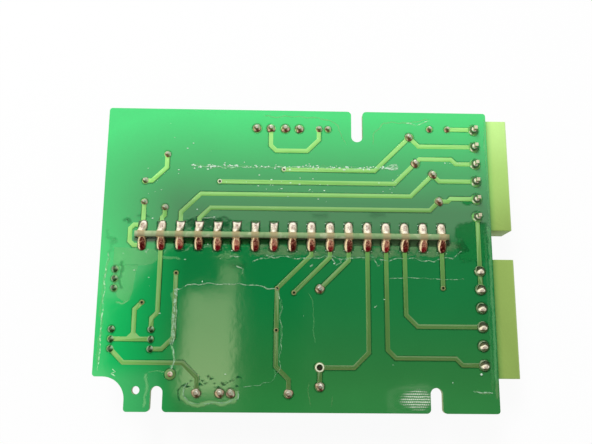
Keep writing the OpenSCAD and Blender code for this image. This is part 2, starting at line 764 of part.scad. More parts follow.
module film_capacitor_leads() {
    color([0.78, 0.78, 0.8]) placed() for (at = film_pins) lead(at, under_h - film_gap, thin_lead);
}

// Coated disc on edge under the board, with a flat crown that its leads leave from
module coated_disc(at, d, t, across) {
    crown = 0.5;
    translate([at.x, at.y, under_h - disc_gap]) rotate([0, 0, across ? 90 : 0]) {
        translate([-t / 2, 0, -d / 2 - crown]) rotate([0, 90, 0]) rotate_extrude()
            polygon([[0, 0], [d / 2 - 0.8, 0], [d / 2, 0.8], [d / 2, t - 0.8], [d / 2 - 0.8, t], [0, t]]);
        translate([-t / 2 + 0.4, -d / 2 + 0.6, -d / 3]) cube([t - 0.8, d - 1.2, d / 3]);
    }
}

module surge_suppressors() {
    color([0.15, 0.3, 0.65]) placed() for (at = disc_at) coated_disc(at, disc_d, disc_t, false);
}

module suppressor_leads() {
    color([0.78, 0.78, 0.8]) placed() for (at = suppressor_pins) lead(at, under_h - disc_gap, thick_lead);
}

module disc_capacitor() {
    color([0.8, 0.5, 0.2]) placed() coated_disc(chipcap_at, chipcap_d, chipcap_t, true);
}

module disc_capacitor_leads() {
    color([0.78, 0.78, 0.8]) placed() for (at = chipcap_pins) lead(at, under_h - disc_gap, thin_lead);
}

// ---- jumpers ----

module jumper_strips() {
    color([0.1, 0.1, 0.11]) placed() for (at = jumper_at) difference() {
        translate([at.x - strip_w / 2, at.y - 1.5 * jumper_pitch, seat_z - strip_h])
            cube([strip_w, 3 * jumper_pitch, strip_h]);
        for (i = [-1 : 1]) translate([at.x, at.y + i * jumper_pitch, seat_z])
            cube([jumper_pin, jumper_pin, 3 * strip_h], center = true);
    }
}

module jumper_pins() {
    low = seat_z - strip_h - jumper_pin_h;
    color([0.82, 0.74, 0.45]) placed() for (at = jumper_pins_at)
        translate([at.x - jumper_pin / 2, at.y - jumper_pin / 2, low])
            cube([jumper_pin, jumper_pin, lead_end_z - low]);
}

// Each shunt bridges the two lower pins of its strip
module jumper_shunts() {
    w = strip_w - 0.2;
    len = 2 * jumper_pitch - 0.2;
    color([0.15, 0.15, 0.5]) placed() for (at = jumper_at)
        translate([at.x, at.y - jumper_pitch / 2, seat_z - strip_h - shunt_h]) difference() {
            translate([-w / 2, -len / 2, 0]) cube([w, len, shunt_h]);
            for (s = [-1, 1]) translate([0, s * jumper_pitch / 2, shunt_h / 2])
                cube([jumper_pin, jumper_pin, 2 * shunt_h], center = true);
            // grip across the open end
            cube([2 * w, 1, 1], center = true);
        }
}

// ---- relay ----

module relay() {
    h = under_h - relay_gap;
    color([0.16, 0.17, 0.18]) placed() translate([relay_x, relay_y, 0])
        linear_extrude(h) difference() {
            square([relay_w, relay_t], center = true);
            for (s = [0, 1]) mirror([s, 0]) translate([relay_w / 2, relay_t / 2]) corner_waste(0.8);
        }
}

module relay_leads() {
    color([0.78, 0.78, 0.8]) placed() for (at = relay_pins) lead(at, under_h - relay_gap, thick_lead);
}

// ---- coin cell ----

cell_play = 0.3;
spring_t = 0.3;
holder_base = 1;
holder_r = cell_d / 2 + cell_play + holder_wall;
cell_top = seat_z - holder_base - spring_t;
holder_h = holder_base + spring_t + cell_t + spring_t;

module cell_holder() {
    ear_w = strip_contact_w + 2;
    ear_l = holder_pitch + 3;
    well_r = cell_d / 2 + cell_play;
    color([0.13, 0.13, 0.14]) placed() translate([cell_at.x, cell_at.y, seat_z - holder_h]) difference() {
        union() {
            cylinder(r = holder_r, h = holder_h, $fn = 96);
            translate([-ear_w / 2, -ear_l / 2, 0]) cube([ear_w, ear_l, holder_h]);
        }
        // well for the cell, open away from the board, under a channel for the inner contact
        translate([0, 0, -1]) cylinder(r = well_r, h = holder_h - holder_base + 1, $fn = 96);
        // finger gap in the wall
        translate([well_r - 2, -4.5, -1]) cube([holder_wall + 4, 9, cell_t + 1]);
        // channels that the two contact strips lie in
        for (s = [0, 1]) mirror([0, s, 0]) {
            translate([-strip_contact_w / 2, well_r - 1, -1]) cube([strip_contact_w,
                holder_pitch / 2 + spring_t / 2 - well_r + 1, holder_h - holder_base + 1]);
            translate([0, holder_pitch / 2, holder_h - holder_base])
                cylinder(d = thick_lead, h = holder_h, $fn = 32);
        }
    }
}

module coin_cell() {
    r = cell_d / 2;
    color([0.8, 0.8, 0.78]) placed() translate([cell_at.x, cell_at.y, cell_top - cell_t])
        rotate_extrude($fn = 96) polygon([[0, 0], [r - 0.3, 0], [r, 0.3], [r, cell_t - 0.9],
            [r - 1, cell_t - 0.6], [r - 1.3, cell_t], [0, cell_t]]);
}

// Inner strip between the cell and the base, outer strip over the cell's open face
module cell_contacts() {
    w = strip_contact_w;
    half = holder_pitch / 2;
    color([0.8, 0.8, 0.8]) placed() translate([cell_at.x, cell_at.y, 0]) {
        translate([-w / 2, 0, cell_top]) cube([w, half + spring_t / 2, spring_t]);
        lead([0, half], cell_top + spring_t, thick_lead);
        translate([-w / 2, -half - spring_t / 2, cell_top - cell_t - spring_t]) cube([w, half, spring_t]);
        translate([-w / 2, -half - spring_t / 2, cell_top - cell_t - spring_t])
            cube([w, spring_t, cell_t + 2 * spring_t]);
        lead([0, -half], cell_top + spring_t, thick_lead);
    }
}

// ---- parts on the daughterboard ----

chip_gap = 0.15;
lead_t = 0.2;
chip_face = -daughter_t / 2;
chip_mid_z = under_h / 2 - 0.8;
chip_x = -6;
driver_xs = [-28, 17];
crystal_x = 30;
crystal_w = 4.6;

// Flat chip body standing off the daughterboard's lower face
module chip_body(x, l, w) {
    translate([x - l / 2, chip_face - chip_gap - chip_t, chip_mid_z - w / 2]) cube([l, chip_t, w]);
}

module controller_chip() {
    color([0.12, 0.12, 0.12]) placed() on_edge_plane() chip_body(chip_x, chip_side, chip_side);
}

module driver_chips() {
    color([0.12, 0.12, 0.12]) placed() on_edge_plane() for (x = driver_xs) chip_body(x, driver_l, driver_w);
}

// One row of bent leads that leave a chip's side at distance reach and land on the board
module lead_row(n, pitch, reach) {
    out = 1;
    mid = chip_t / 2 + chip_gap;
    w = pitch * 0.45;
    for (i = [0 : n - 1]) translate([(i - (n - 1) / 2) * pitch - w / 2, chip_face, reach]) {
        translate([0, -mid, 0]) cube([w, lead_t, out / 2]);
        translate([0, -mid, out / 2 - lead_t]) cube([w, mid, lead_t]);
        translate([0, -lead_t, out / 2 - lead_t]) cube([w, lead_t, out / 2 + lead_t]);
    }
}

module chip_leads() {
    controller_pitch = (chip_side - 1) / chip_leads_side;
    driver_pitch = (driver_l - 0.8) / driver_leads_side;
    color([0.78, 0.78, 0.8]) placed() on_edge_plane() {
        for (a = [0 : 90 : 270]) translate([chip_x, 0, chip_mid_z]) rotate([0, a, 0])
            lead_row(chip_leads_side, controller_pitch, chip_side / 2);
        for (x = driver_xs, a = [0, 180]) translate([x, 0, chip_mid_z]) rotate([0, a, 0])
            lead_row(driver_leads_side, driver_pitch, driver_w / 2);
    }
}

// Low crystal can lying against the daughterboard, with two leads bent onto it
module crystal() {
    w = crystal_w;
    h = 3.4;
    color([0.8, 0.8, 0.82]) placed() on_edge_plane() translate([crystal_x, chip_face, chip_mid_z])
        rotate([90, 0, 0]) linear_extrude(h) {
            square([crystal_l - w, w], center = true);
            for (s = [-1, 1]) translate([s * (crystal_l - w) / 2, 0]) circle(d = w);
        }
}

module crystal_leads() {
    color([0.78, 0.78, 0.8]) placed() on_edge_plane() for (s = [-1, 1])
        translate([crystal_x + s * crystal_l / 4 - 0.3, chip_face - 0.4, chip_mid_z + crystal_w / 2])
            cube([0.6, 0.4, 2]);
}

// Row of small ceramic blocks on the upper face, level with height z
module chip_row(xs, z, t) {
    w = chip_part_l * 0.62;
    for (x = xs) translate([x - chip_part_l / 2, daughter_t / 2, z - w / 2]) cube([chip_part_l, t, w]);
}

module chip_resistors() {
    color([0.15, 0.15, 0.16]) placed() on_edge_plane() {
        chip_row([for (i = [-4 : 4]) i * 4], under_h / 2, 0.55);
        chip_row([for (i = [-2 : 2]) i * 4], under_h / 2 - 4, 0.55);
    }
}

module chip_capacitors() {
    color([0.72, 0.6, 0.42]) placed() on_edge_plane() {
        chip_row([for (i = [0 : 3]) -34 + i * 4], under_h / 2, 0.9);
        chip_row([for (i = [0 : 3]) 22 + i * 4], under_h / 2 - 2, 0.9);
    }
}

main_board();
solder_side_tracks();
component_side_tracks();
upper_header_housing();
lower_header_housing();
upper_header_pins();
lower_header_pins();
daughterboard();
daughterboard_contacts();
upper_contact_solder();
lower_contact_solder();
header_pin_solder();
lead_solder();
rectifier();
rectifier_leads();
filter_capacitor();
filter_capacitor_leads();
resistor();
resistor_leads();
film_capacitor();
film_capacitor_leads();
surge_suppressors();
suppressor_leads();
disc_capacitor();
disc_capacitor_leads();
jumper_strips();
jumper_pins();
jumper_shunts();
relay();
relay_leads();
cell_holder();
coin_cell();
cell_contacts();
controller_chip();
driver_chips();
chip_leads();
crystal();
crystal_leads();
chip_resistors();
chip_capacitors();
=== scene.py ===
import math
import random

import bmesh
import bpy
from mathutils import Euler, Matrix, Vector, noise


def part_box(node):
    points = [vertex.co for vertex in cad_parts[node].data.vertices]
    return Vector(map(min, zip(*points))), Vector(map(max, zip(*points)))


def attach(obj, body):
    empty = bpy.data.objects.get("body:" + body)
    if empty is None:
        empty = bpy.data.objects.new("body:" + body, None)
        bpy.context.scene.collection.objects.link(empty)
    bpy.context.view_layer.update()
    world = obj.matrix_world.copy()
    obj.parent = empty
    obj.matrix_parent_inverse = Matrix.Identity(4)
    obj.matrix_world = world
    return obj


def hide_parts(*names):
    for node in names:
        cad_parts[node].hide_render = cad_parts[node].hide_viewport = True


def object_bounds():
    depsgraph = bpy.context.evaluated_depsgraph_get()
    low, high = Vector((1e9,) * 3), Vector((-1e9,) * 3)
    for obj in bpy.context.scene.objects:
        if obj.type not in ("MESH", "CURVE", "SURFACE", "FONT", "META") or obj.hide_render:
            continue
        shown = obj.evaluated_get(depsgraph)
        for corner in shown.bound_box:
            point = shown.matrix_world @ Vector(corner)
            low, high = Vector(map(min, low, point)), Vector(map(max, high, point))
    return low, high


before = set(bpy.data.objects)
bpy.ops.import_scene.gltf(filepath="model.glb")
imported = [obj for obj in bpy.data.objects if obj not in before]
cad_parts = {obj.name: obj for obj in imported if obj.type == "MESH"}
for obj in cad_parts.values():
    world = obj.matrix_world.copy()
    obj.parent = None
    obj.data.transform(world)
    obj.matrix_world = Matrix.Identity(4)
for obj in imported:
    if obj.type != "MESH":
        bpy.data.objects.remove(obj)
cad_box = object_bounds()
scene = bpy.context.scene
scene.view_settings.view_transform = "Standard"

# ---- Camera ----
# It looks down on the solder side from a hand's height, from a little left of
# the middle and from the lower edge's side, so the upright parts lean away.
mm = 0.001
board_low, board_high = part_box("main_board")
middle = Vector(((board_low.x + board_high.x) / 2, (board_low.y + board_high.y) / 2, board_high.z))


def at(x, y, z=0.0):
    """A point in mm from the middle of the board's solder side."""
    return middle + Vector((x, y, z)) * mm


eye = bpy.data.cameras.new("camera")
eye.sensor_width = 36
eye.lens = 40.57
eye.clip_start = 0.01
tilt, lean, roll = 11.724, -1.387, 0.452
camera = bpy.data.objects.new("camera", eye)
camera.location = at(-4.53, -27.97, 178.37)
camera.rotation_euler = Euler([math.radians(turn) for turn in (tilt, lean, roll)])
scene.collection.objects.link(camera)
scene.camera = camera


# ---- Studio ----
# A pale table top in an even light from all round, with one soft lamp over the
# upper left. Gloss and metal mirror a bright wall beyond the upper edge, a warm
# lit doorway overhead and a dim room toward the lower edge.
class Wire:
    """A socket of a node. Sums on it add Math nodes, and node() adds any other node."""

    def __init__(self, tree, socket=None):
        self.tree, self.socket = tree, socket

    def node(self, kind, settings=None, sockets=None, out=0):
        node = self.tree.nodes.new("ShaderNode" + kind)
        for name, value in (settings or {}).items():
            setattr(node, name, value)
        for name, value in (sockets or {}).items():
            if isinstance(value, Wire):
                self.tree.links.new(value.socket, node.inputs[name])
            elif node.inputs[name].type == "RGBA":
                node.inputs[name].default_value = (*value, 1)
            else:
                node.inputs[name].default_value = value
        return Wire(self.tree, node.outputs[out]) if len(node.outputs) else None

    def math(self, operation, *values):
        return self.node("Math", {"operation": operation}, dict(enumerate(values)))

    def __abs__(self):
        return self.math("ABSOLUTE", self)

    def least(self, other):
        return self.math("MINIMUM", self, other)

    def most(self, other):
        return self.math("MAXIMUM", self, other)

    def parts(self):
        split = self.node("SeparateXYZ", None, {0: self}).socket.node
        return [Wire(self.tree, socket) for socket in split.outputs]

    def fade(self, start, end, low=0.0, high=1.0):
        """Goes smoothly from low to high as the wire goes from start to end."""
        return self.node("MapRange", {"interpolation_type": "SMOOTHSTEP"},
                         {0: self, 1: start, 2: end, 3: low, 4: high})

    def band(self, start, end, soft):
        """1 between start and end, with soft edges."""
        return self.fade(start - soft, start + soft) * self.fade(end + soft, end - soft)

    def blend(self, first, second):
        """Two colours mixed by this wire."""
        return self.node("Mix", {"data_type": "RGBA"}, {0: self, 6: shade_of(first), 7: shade_of(second)}, 2)

    def times(self, shade):
        """A colour made this much brighter."""
        return self.node("VectorMath", {"operation": "SCALE"}, {0: shade_of(shade), "Scale": self})

    def wave(self, length):
        """A sine that repeats every length."""
        return self.math("SINE", self * (2 * math.pi / length))


for sign, operation in (("add", "ADD"), ("sub", "SUBTRACT"), ("mul", "MULTIPLY"), ("truediv", "DIVIDE"),
                        ("pow", "POWER"), ("mod", "FLOORED_MODULO")):
    setattr(Wire, f"__{sign}__", lambda self, other, kind=operation: self.math(kind, self, other))
    setattr(Wire, f"__r{sign}__", lambda self, other, kind=operation: self.math(kind, other, self))


def shade_of(colour):
    """A colour as a shader takes it. In whole numbers it is on a paint chart's scale of 0 to 255;
    a wire, or light given in decimals, stays as it is."""
    if isinstance(colour, Wire) or isinstance(colour[0], float):
        return colour
    return [c / 255 / 12.92 if c <= 10 else ((c / 255 + 0.055) / 1.055) ** 2.4 for c in colour]


def coated(shade, *coats):
    """A colour with coats laid over it in turn: each has how far it covers, and its own colour."""
    for cover, coat in coats:
        shade = cover.blend(shade, coat)
    return shade


def bare(block):
    """Clears the nodes of a world or a material and gives the wire that builds on them."""
    block.use_nodes = True
    block.node_tree.nodes.clear()
    return Wire(block.node_tree)


def rays(wire):
    """1 for rays that come from the eye, off a gloss and through a clear piece, in that order."""
    path = wire.node("LightPath").socket.node
    return [Wire(wire.tree, path.outputs[f"Is {kind} Ray"]) for kind in ("Camera", "Glossy", "Transmission")]


world = bpy.data.worlds.new("studio")
scene.world = world
sky = bare(world)
world.cycles.sampling_method = "NONE"
east, north, up = sky.node("TexCoord", out="Generated").parts()
up = up.most(0.02)
east, north = east / up, north / up
corner = (east + 0.163).least(0).most(-0.075) * -1.3
frame_of_door = east.band(-0.09, -0.062, 0.004) * north.band(0.1, 0.142, 0.01) * 0.7
door = (east - north * 0.06).fade(-0.153, -0.138) * east.fade(-0.064, -0.068) * north.band(-0.048, 0.1, 0.012)
room = coated(
    east.fade(0.02, 0.05).blend((0.012, 0.02, 0.014), (0.1, 0.09, 0.08)),
    # the wall beyond the upper edge, a lit patch on the left, and the wall's brighter far part
    ((north + corner).fade(0.172, 0.2), (1.1, 1.1, 0.93)),
    (east.fade(-0.25, -0.262) * north.band(-0.06, 0.15, 0.02) * 0.6, (0.95, 0.95, 0.8)),
    (north.fade(0.45, 0.9), (1.35, 1.33, 1.25)),
    # the light that spills round the door, the doorway, and a small window on the right
    (east.fade(-0.03, -0.07) * east.fade(-0.145, -0.13) * north.band(-0.08, 0.1, 0.02) * 0.22,
     (1.1, 1.1, 0.8)),
    (door.most(frame_of_door), north.fade(0.1, -0.07).blend((1.95, 2.0, 1.15), (2.5, 2.6, 1.5))),
    (east.band(0.181, 0.222, 0.006) * north.band(-0.068, -0.045, 0.006), (2.6, 2.6, 2.1)),
    # the near side, brown and then dark, and the far right and far left
    (north.fade(-0.14, -0.3), (0.62, 0.36, 0.28)),
    (north.fade(-0.35, -0.7), (0.16, 0.03, 0.025)),
    ((east - abs(north) * 0.45).fade(0.35, 0.7), (0.5, 0.38, 0.24)),
    ((east * -1 - abs(north) * 0.35).fade(0.32, 0.5), (1.25, 1.15, 0.85)))
by_eye, off_gloss, through = rays(sky)
light = by_eye.blend(off_gloss.most(through).blend((0.52, 0.52, 0.52), room), (1.0, 1.0, 1.0))
sky.node("OutputWorld", None, {"Surface": sky.node("Background", None, {"Color": light})})

bulb = bpy.data.lights.new("lamp", "AREA")
bulb.size, bulb.energy = 0.2, 2.15
lamp = bpy.data.objects.new("lamp", bulb)
lamp.location = at(-130, 290, 500)
lamp.rotation_euler = (lamp.location - middle).to_track_quat("Z", "Y").to_euler()
lamp.visible_glossy = False
scene.collection.objects.link(lamp)


def stand(name, shape):
    """Turns a bmesh into an object of the scene."""
    mesh = bpy.data.meshes.new(name)
    shape.to_mesh(mesh)
    shape.free()
    thing = bpy.data.objects.new(name, mesh)
    scene.collection.objects.link(thing)
    return thing


table_top = bmesh.new()
bmesh.ops.create_grid(table_top, x_segments=1, y_segments=1, size=2.5)
bmesh.ops.translate(table_top, verts=table_top.verts, vec=(0, 0, cad_box[0].z))
floor = stand("table_top", table_top)
white_paint = bpy.data.materials.new("table_top")
floor.data.materials.append(white_paint)
wood = bare(white_paint)
by_eye, off_gloss, through = rays(wood)
plain = wood.node("BsdfDiffuse", None, {"Color": (0.9, 0.9, 0.9)})
glow = wood.node("Emission", None, {"Color": (1.0, 1.0, 1.0)})
white = wood.node("MixShader", None, {0: by_eye.most(off_gloss).most(through) * 0.93, 1: plain, 2: glow})
# from under the table its top isn't in the way
below = wood.node("NewGeometry", out="Backfacing")
wood.node("OutputMaterial", None, {"Surface": wood.node(
    "MixShader", None, {0: below, 1: white, 2: wood.node("BsdfTransparent")})})


# ---- Main board ----
# Woven glass and epoxy 1.6 mm thick, routed to its outline and coated on both
# faces with glossy green solder mask. Light is painted into the mask's green:
# it is painted brighter near the upper and left edges.
row_middle, contact_step, contacts = -1.4, 5.08, 17  # the daughterboard's row of contacts, in mm
first_contact = row_middle - contacts // 2 * contact_step


def new_finish(name):
    """A material, and the wire of places in mm from the middle of the board's solder side."""
    material = bpy.data.materials.new(name)
    start = bare(material)
    return material, start.node("VectorMath", {"operation": "MULTIPLY_ADD"}, {
        0: start.node("TexCoord", out="Object"), 1: [1 / mm] * 3, 2: middle / -mm})


def set_finish(place, height=None, **sockets):
    """Feeds a Principled shader; height is the relief in mm."""
    names = {"color": "Base Color", "rough": "Roughness", "metal": "Metallic", "alpha": "Alpha",
             "gloss": "Specular IOR Level", "coat": "Coat Weight"}
    feeds = {names[key]: value for key, value in sockets.items()}
    if height is not None:
        feeds["Normal"] = place.node("Bump", None, {"Distance": mm, "Height": height})
    place.node("OutputMaterial", None, {"Surface": place.node("BsdfPrincipled", None, feeds)})


def mottle(place, size, detail=2.0, rough=0.5, warp=0.0, stretch=(1, 1, 1)):
    """Cloudy noise from 0 to 1, with clouds about size mm across."""
    spot = place.node("VectorMath", {"operation": "MULTIPLY"}, {0: place, 1: [s / size for s in stretch]})
    return place.node("TexNoise", None, {"Vector": spot, "Scale": 1.0, "Detail": detail,
                                         "Roughness": rough, "Distortion": warp}, "Fac")


def dress(material, *names):
    """Puts a finish on CAD nodes that are shown as they are."""
    for name in names:
        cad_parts[name].material_slots[0].material = material


def from_left(x):
    """Rises from 0 toward the left edge, where light is painted brighter."""
    return ((x * -1 - 30) / 22).most(0) ** 1.1


def painted_glow(x, y):
    """How much brighter the coating is painted at a place than in the middle of the board: painted light."""
    upper = ((y - 12) / 28).most(0) ** 1.15 * 2.7
    side = from_left(x) * y.fade(0, 12, 2.1, 1.7)
    lower = y.fade(0, 8, 1.0, 0.92) + y.fade(-29, -41, 0, 0.16)
    return ((upper * upper + side * side) ** 0.5 + lower).least(3.6)


def ripples(place):
    """Slow waves of the coating, in mm: they are deeper where flux pooled under the contacts."""
    x, y = place.parts()[:2]
    flow = x.band(-33, -14, 4) * y.band(0, 11, 2)
    return mottle(place, 9, 1.0) * 0.014 + mottle(place, 2.2, 2.0, 0.5, 0.6) * (0.006 + flow * 0.05)


mask, place = new_finish("green_mask")
x, y, z = place.parts()
weave = x.wave(0.62) * y.wave(0.62)
cloth = x.band(24, 37, 3) * y.band(-43, -35, 1.5)
shade = mottle(place, 14, 3.0) * 0.16 + mottle(place, 0.5, 2.0) * 0.1 + 0.87
# a painted shadow darkens the mask along the daughterboard's edge
shade_band = abs(x - row_middle).fade(43.5, 42.6) * (y.band(3.25, 4.6, 0.5) * 0.75)
tone = coated((y.fade(-8, -36) * x.fade(-42, -26)).blend((12, 121, 60), (42, 123, 59)),
              (y.fade(-28, -34) * x.fade(-34, -37), (42, 124, 68)))
# painted light: the green is painted brighter near the edges, and darker in the painted shadow along the
# daughterboard
green = (painted_glow(x, y) * shade * (1 - shade_band)).times(tone)
cut = z.band(-1.57, -0.03, 0.01)
fibre = mottle(place, 0.3, 2.0, 0.5, 0.0, (0.15, 0.15, 6)).blend((122, 158, 84), (188, 205, 138))
set_finish(place, color=cut.blend(green, fibre), rough=cut.fade(0, 1, 0.055, 0.6), gloss=1.0,
           height=ripples(place) + weave * (cloth * 0.0035 + 0.0002) + mottle(place, 0.35) * 0.001)
dress(mask, "main_board")


# ---- Copper tracks and pads ----
# Thin copper under the same solder mask, which looks lime where it lies on
# metal. The lime is painted brighter toward the upper and left edges, and its
# edges lighter as highlights. Beside the copper's edge, where the mask dips,
# it is painted darker as shade. The pads under the contact joints are dark with flux.
slot_y = 5.05  # the middle of the daughterboard's edge, in mm
rim_wide, rim_sag, moat_wide = 0.14, 0.05, 0.42


def from_node(name):
    """A copy of a CAD node as a bmesh, with its loose triangles joined."""
    shape = bmesh.new()
    shape.from_mesh(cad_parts[name].data)
    bmesh.ops.remove_doubles(shape, verts=shape.verts, dist=0.002 * mm)
    return shape


def finish_piece(name, shape, material, slot, *stands_for, crease=40):
    """Turns a bmesh into a finished piece of the board."""
    thing = stand(name, shape)
    thing.data.materials.append(material)
    thing.data.shade_smooth()
    thing.data.set_sharp_from_angle(angle=math.radians(crease))
    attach(thing, "root")
    if stands_for:
        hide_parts(*stands_for)


def merge_flat(shape):
    """Joins the triangles of each flat face."""
    bmesh.ops.dissolve_limit(shape, angle_limit=math.radians(1), verts=shape.verts, edges=shape.edges)


def face_out(shape):
    """Turns all the faces of a shape outward."""
    bmesh.ops.recalc_face_normals(shape, faces=shape.faces)


def drawn_out(shape, edges):
    """Extrudes edges, and gives the new verts and the new faces."""
    made = bmesh.ops.extrude_edge_only(shape, edges=edges)["geom"]
    return [[part for part in made if isinstance(part, kind)]
            for kind in (bmesh.types.BMVert, bmesh.types.BMFace)]


def root_of(vert, roots):
    """The vert among roots that vert was drawn out of."""
    return next(e.other_vert(vert) for e in vert.link_edges if e.other_vert(vert) in roots)


def carried(place, name, out="Fac"):
    """The wire of a value that a piece's verts carry."""
    return place.node("Attribute", {"attribute_name": name}, None, out)


def from_contact(x):
    """How far to the right of the nearest contact a place is, in mm."""
    return (x - first_contact + contact_step / 2) % contact_step - contact_step / 2


tracks = from_node("solder_side_tracks")
top_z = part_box("solder_side_tracks")[1].z
waste = [f for f in tracks.faces if f.normal.z < 0.5 or f.calc_center_median().z < top_z - 0.01 * mm]
bmesh.ops.delete(tracks, geom=waste, context="FACES")
merge_flat(tracks)
shade_band = tracks.copy()
bmesh.ops.inset_region(tracks, faces=tracks.faces, use_boundary=True, use_even_offset=True,
                       thickness=rim_wide * mm, depth=0)
edge = tracks.verts.layers.float.new("edge")
for vert in {v for e in tracks.edges if e.is_boundary for v in e.verts}:
    vert[edge] = 1.0
    vert.co.z -= rim_sag * mm
for vert in drawn_out(tracks, [e for e in tracks.edges if e.is_boundary])[0]:
    vert.co.z = board_high.z
    vert[edge] = 1.0
face_out(tracks)

lime, place = new_finish("mask_on_copper")
x, y = place.parts()[:2]
# painted light: the lime is painted brighter toward the upper and left edges, a step darker from 9 mm up and
# brighter again from 14 mm, and lighter along the track edges as painted highlights
glow = (y + 10).most(0) * 0.047 + (y + 10).least(0) * 0.01 + from_left(x) * 1.9 + 1
glow = glow * (mottle(place, 5, 3.0) * 0.16 + 0.92)
glow = glow * (0.99 + carried(place, "edge") * y.fade(5, 16, 0.08, 0.24))
glow = glow * y.fade(9, 12, 1.0, 0.86) * y.fade(14, 16, 1.0, 1.26)
pad = abs(from_contact(x)).fade(1.32, 1.22) * abs(y - slot_y).fade(3.95, 3.85)
pad = pad * abs(x - row_middle).fade(42.4, 42.3)
set_finish(place, color=pad.blend(glow.times((88, 134, 66)), (34, 84, 44)), rough=0.12, gloss=1.0,
           height=ripples(place) + mottle(place, 0.4) * 0.002)
finish_piece("solder_side_tracks_masked", tracks, lime, "masked_copper", "solder_side_tracks")
dress(lime, "component_side_tracks")

# painted shade in a band beside the copper, where the mask also sags and lies deeper: the tracks' outline,
# swept outward
edge = shade_band.verts.layers.float.new("edge")
outward = {}
for wire in [e for e in shade_band.edges if e.is_boundary]:
    first, second = wire.verts
    away = (second.co - first.co).cross(Vector((0, 0, 1))).normalized()
    if away.dot(wire.link_faces[0].calc_center_median() - first.co) > 0:
        away.negate()
    for vert in wire.verts:
        outward.setdefault(vert, []).append(away)
bmesh.ops.delete(shade_band, geom=shade_band.faces, context="FACES_KEEP_BOUNDARY")
for vert in shade_band.verts:
    vert.co.z = at(0, 0, 0.012).z
    vert[edge] = 1.0
for vert in drawn_out(shade_band, shade_band.edges)[0]:
    ways = outward[root_of(vert, outward)]
    push = sum(ways, Vector())
    vert.co += push / max(0.6, push.length_squared / len(ways)) * moat_wide * mm
    vert[edge] = 0.0
face_out(shade_band)
# a darker copy of the mask's painted green: painted shade beside the copper
sag_and_shade, place = new_finish("mask_beside_copper")
x, y = place.parts()[:2]
set_finish(place, color=(painted_glow(x, y) * 0.62).times((16, 110, 48)), rough=0.1, gloss=0.6,
           alpha=carried(place, "edge") * (mottle(place, 3) * 0.5 + 0.35))
finish_piece("track_shade_moats", shade_band, sag_and_shade, "laminate")


# ---- Plated holes that stay open ----
# Vias and the spare hole keep a ring of bare tinned copper that the mask stops
# short of. Their bores are painted dark as shade; the rings above the contacts
# are painted bright as the wall beyond mirrors in them, the spare hole's ring
# bright too, and the rest dull olive.
def spun(shape, x, y, profile, steps):
    """Spins a profile of (radius, height) pairs in mm round an upright axis."""
    start = [shape.verts.new(at(x + r, y, h)) for r, h in profile]
    wire = start + [shape.edges.new(pair) for pair in zip(start, start[1:])]
    bmesh.ops.spin(shape, geom=wire, cent=at(x, y), axis=(0, 0, 1), angle=math.tau, steps=steps,
                   use_merge=True)


tinned, place = new_finish("tinned_ring")
x, y, z = place.parts()
grain = mottle(place, 0.5, 3.0)
# painted shade: the bore is painted dark brown
bore = z.fade(0.13, 0.11)
# painted reflection: the rings above the contacts are painted bright, and the spare hole's ring too; the rest
# are dull olive
painted_bright = (y.fade(5, 15) + x.band(4, 8, 0.5) * y.band(-32, -27, 0.5)).least(1)
ring = painted_bright.blend((138, 144, 92), grain.blend((214, 226, 186), (244, 250, 226)))
set_finish(place, color=bore.blend(ring, (44, 34, 24)), metal=bore.fade(0, 1, 0.25, 0),
           rough=grain.fade(0, 1, 0.5, 0.36), height=grain * 0.01)
rings = bmesh.new()
vias = [(-21.6, 20.3), (-3.95, 24.0), (-32.5, -5.25), (-41.2, -13.2),
        (-5.4, -9.1), (-0.9, -10.2), (-5.5, -20.15), (39.24, -8.6)]
spare_hole = (6, -29.7)
for x, y, inner, outer in [(*via, 0.25, 0.56) for via in vias] + [(*spare_hole, 0.7, 1.15)]:
    spun(rings, x, y, [(0.0, -0.5), (inner - 0.01, -0.5), (inner, 0.1), (inner + 0.1, 0.105),
                       (inner + 0.13, 0.15), (outer, 0.14), (outer + 0.06, 0.1)], 28)
face_out(rings)
for face in rings.faces:  # an open ring has no inside, so its top is set to face up
    face.normal_update()
if sum(f.normal.z for f in rings.faces if abs(f.normal.z) > 0.7) < 0:
    bmesh.ops.reverse_faces(rings, faces=rings.faces)
finish_piece("via_rings", rings, tinned, "masked_copper")


# ---- Daughterboard edge ----
# The upright board is sawn from pale laminate, and 2 mm of its edge stands
# through a slot. Flux and heat have browned it over each contact.
def cloudy(name, size, first, second, rough, relief=0.01, detail=3.0, fine=None, stretch=(1, 1, 1),
           **sockets):
    """A finish that drifts from one paint and roughness to another in clouds about size mm across.
    relief is how high the clouds stand in mm, and fine the size and height of a second, finer relief."""
    material, place = new_finish(name)
    cloud = mottle(place, size, detail, stretch=stretch)
    height = cloud * relief + mottle(place, fine[0]) * fine[1] if fine else cloud * relief
    set_finish(place, color=cloud.blend(first, second), rough=cloud.fade(0, 1, *rough),
               height=height, **sockets)
    return material


pale, place = new_finish("daughter_laminate")
x, y, z = place.parts()
burn = (abs(from_contact(x)) + mottle(place, 1.2) * 0.7).fade(1.9, 0.9) * z.fade(-1.0, 0.3)
streak = mottle(place, 0.35, 3.0, 0.6, 0.0, (0.25, 2.5, 0.6))
pocket = mottle(place, 2.6, 3.0, 0.6, 0.6)
whole = coated(
    streak.blend((124, 164, 108), (158, 184, 132)),
    (pocket.fade(0.46, 0.34) * 0.7, (198, 206, 166)),
    (x.fade(-34, -41) * 0.6, (196, 206, 164)),
    (pocket.fade(0.56, 0.7) * 0.6, (98, 140, 82)),
    (burn * 0.85, mottle(place, 0.6, 3.0).blend((158, 138, 96), (192, 176, 134))),
    (x.fade(39.8, 41.2) * 0.75, (122, 108, 66)))
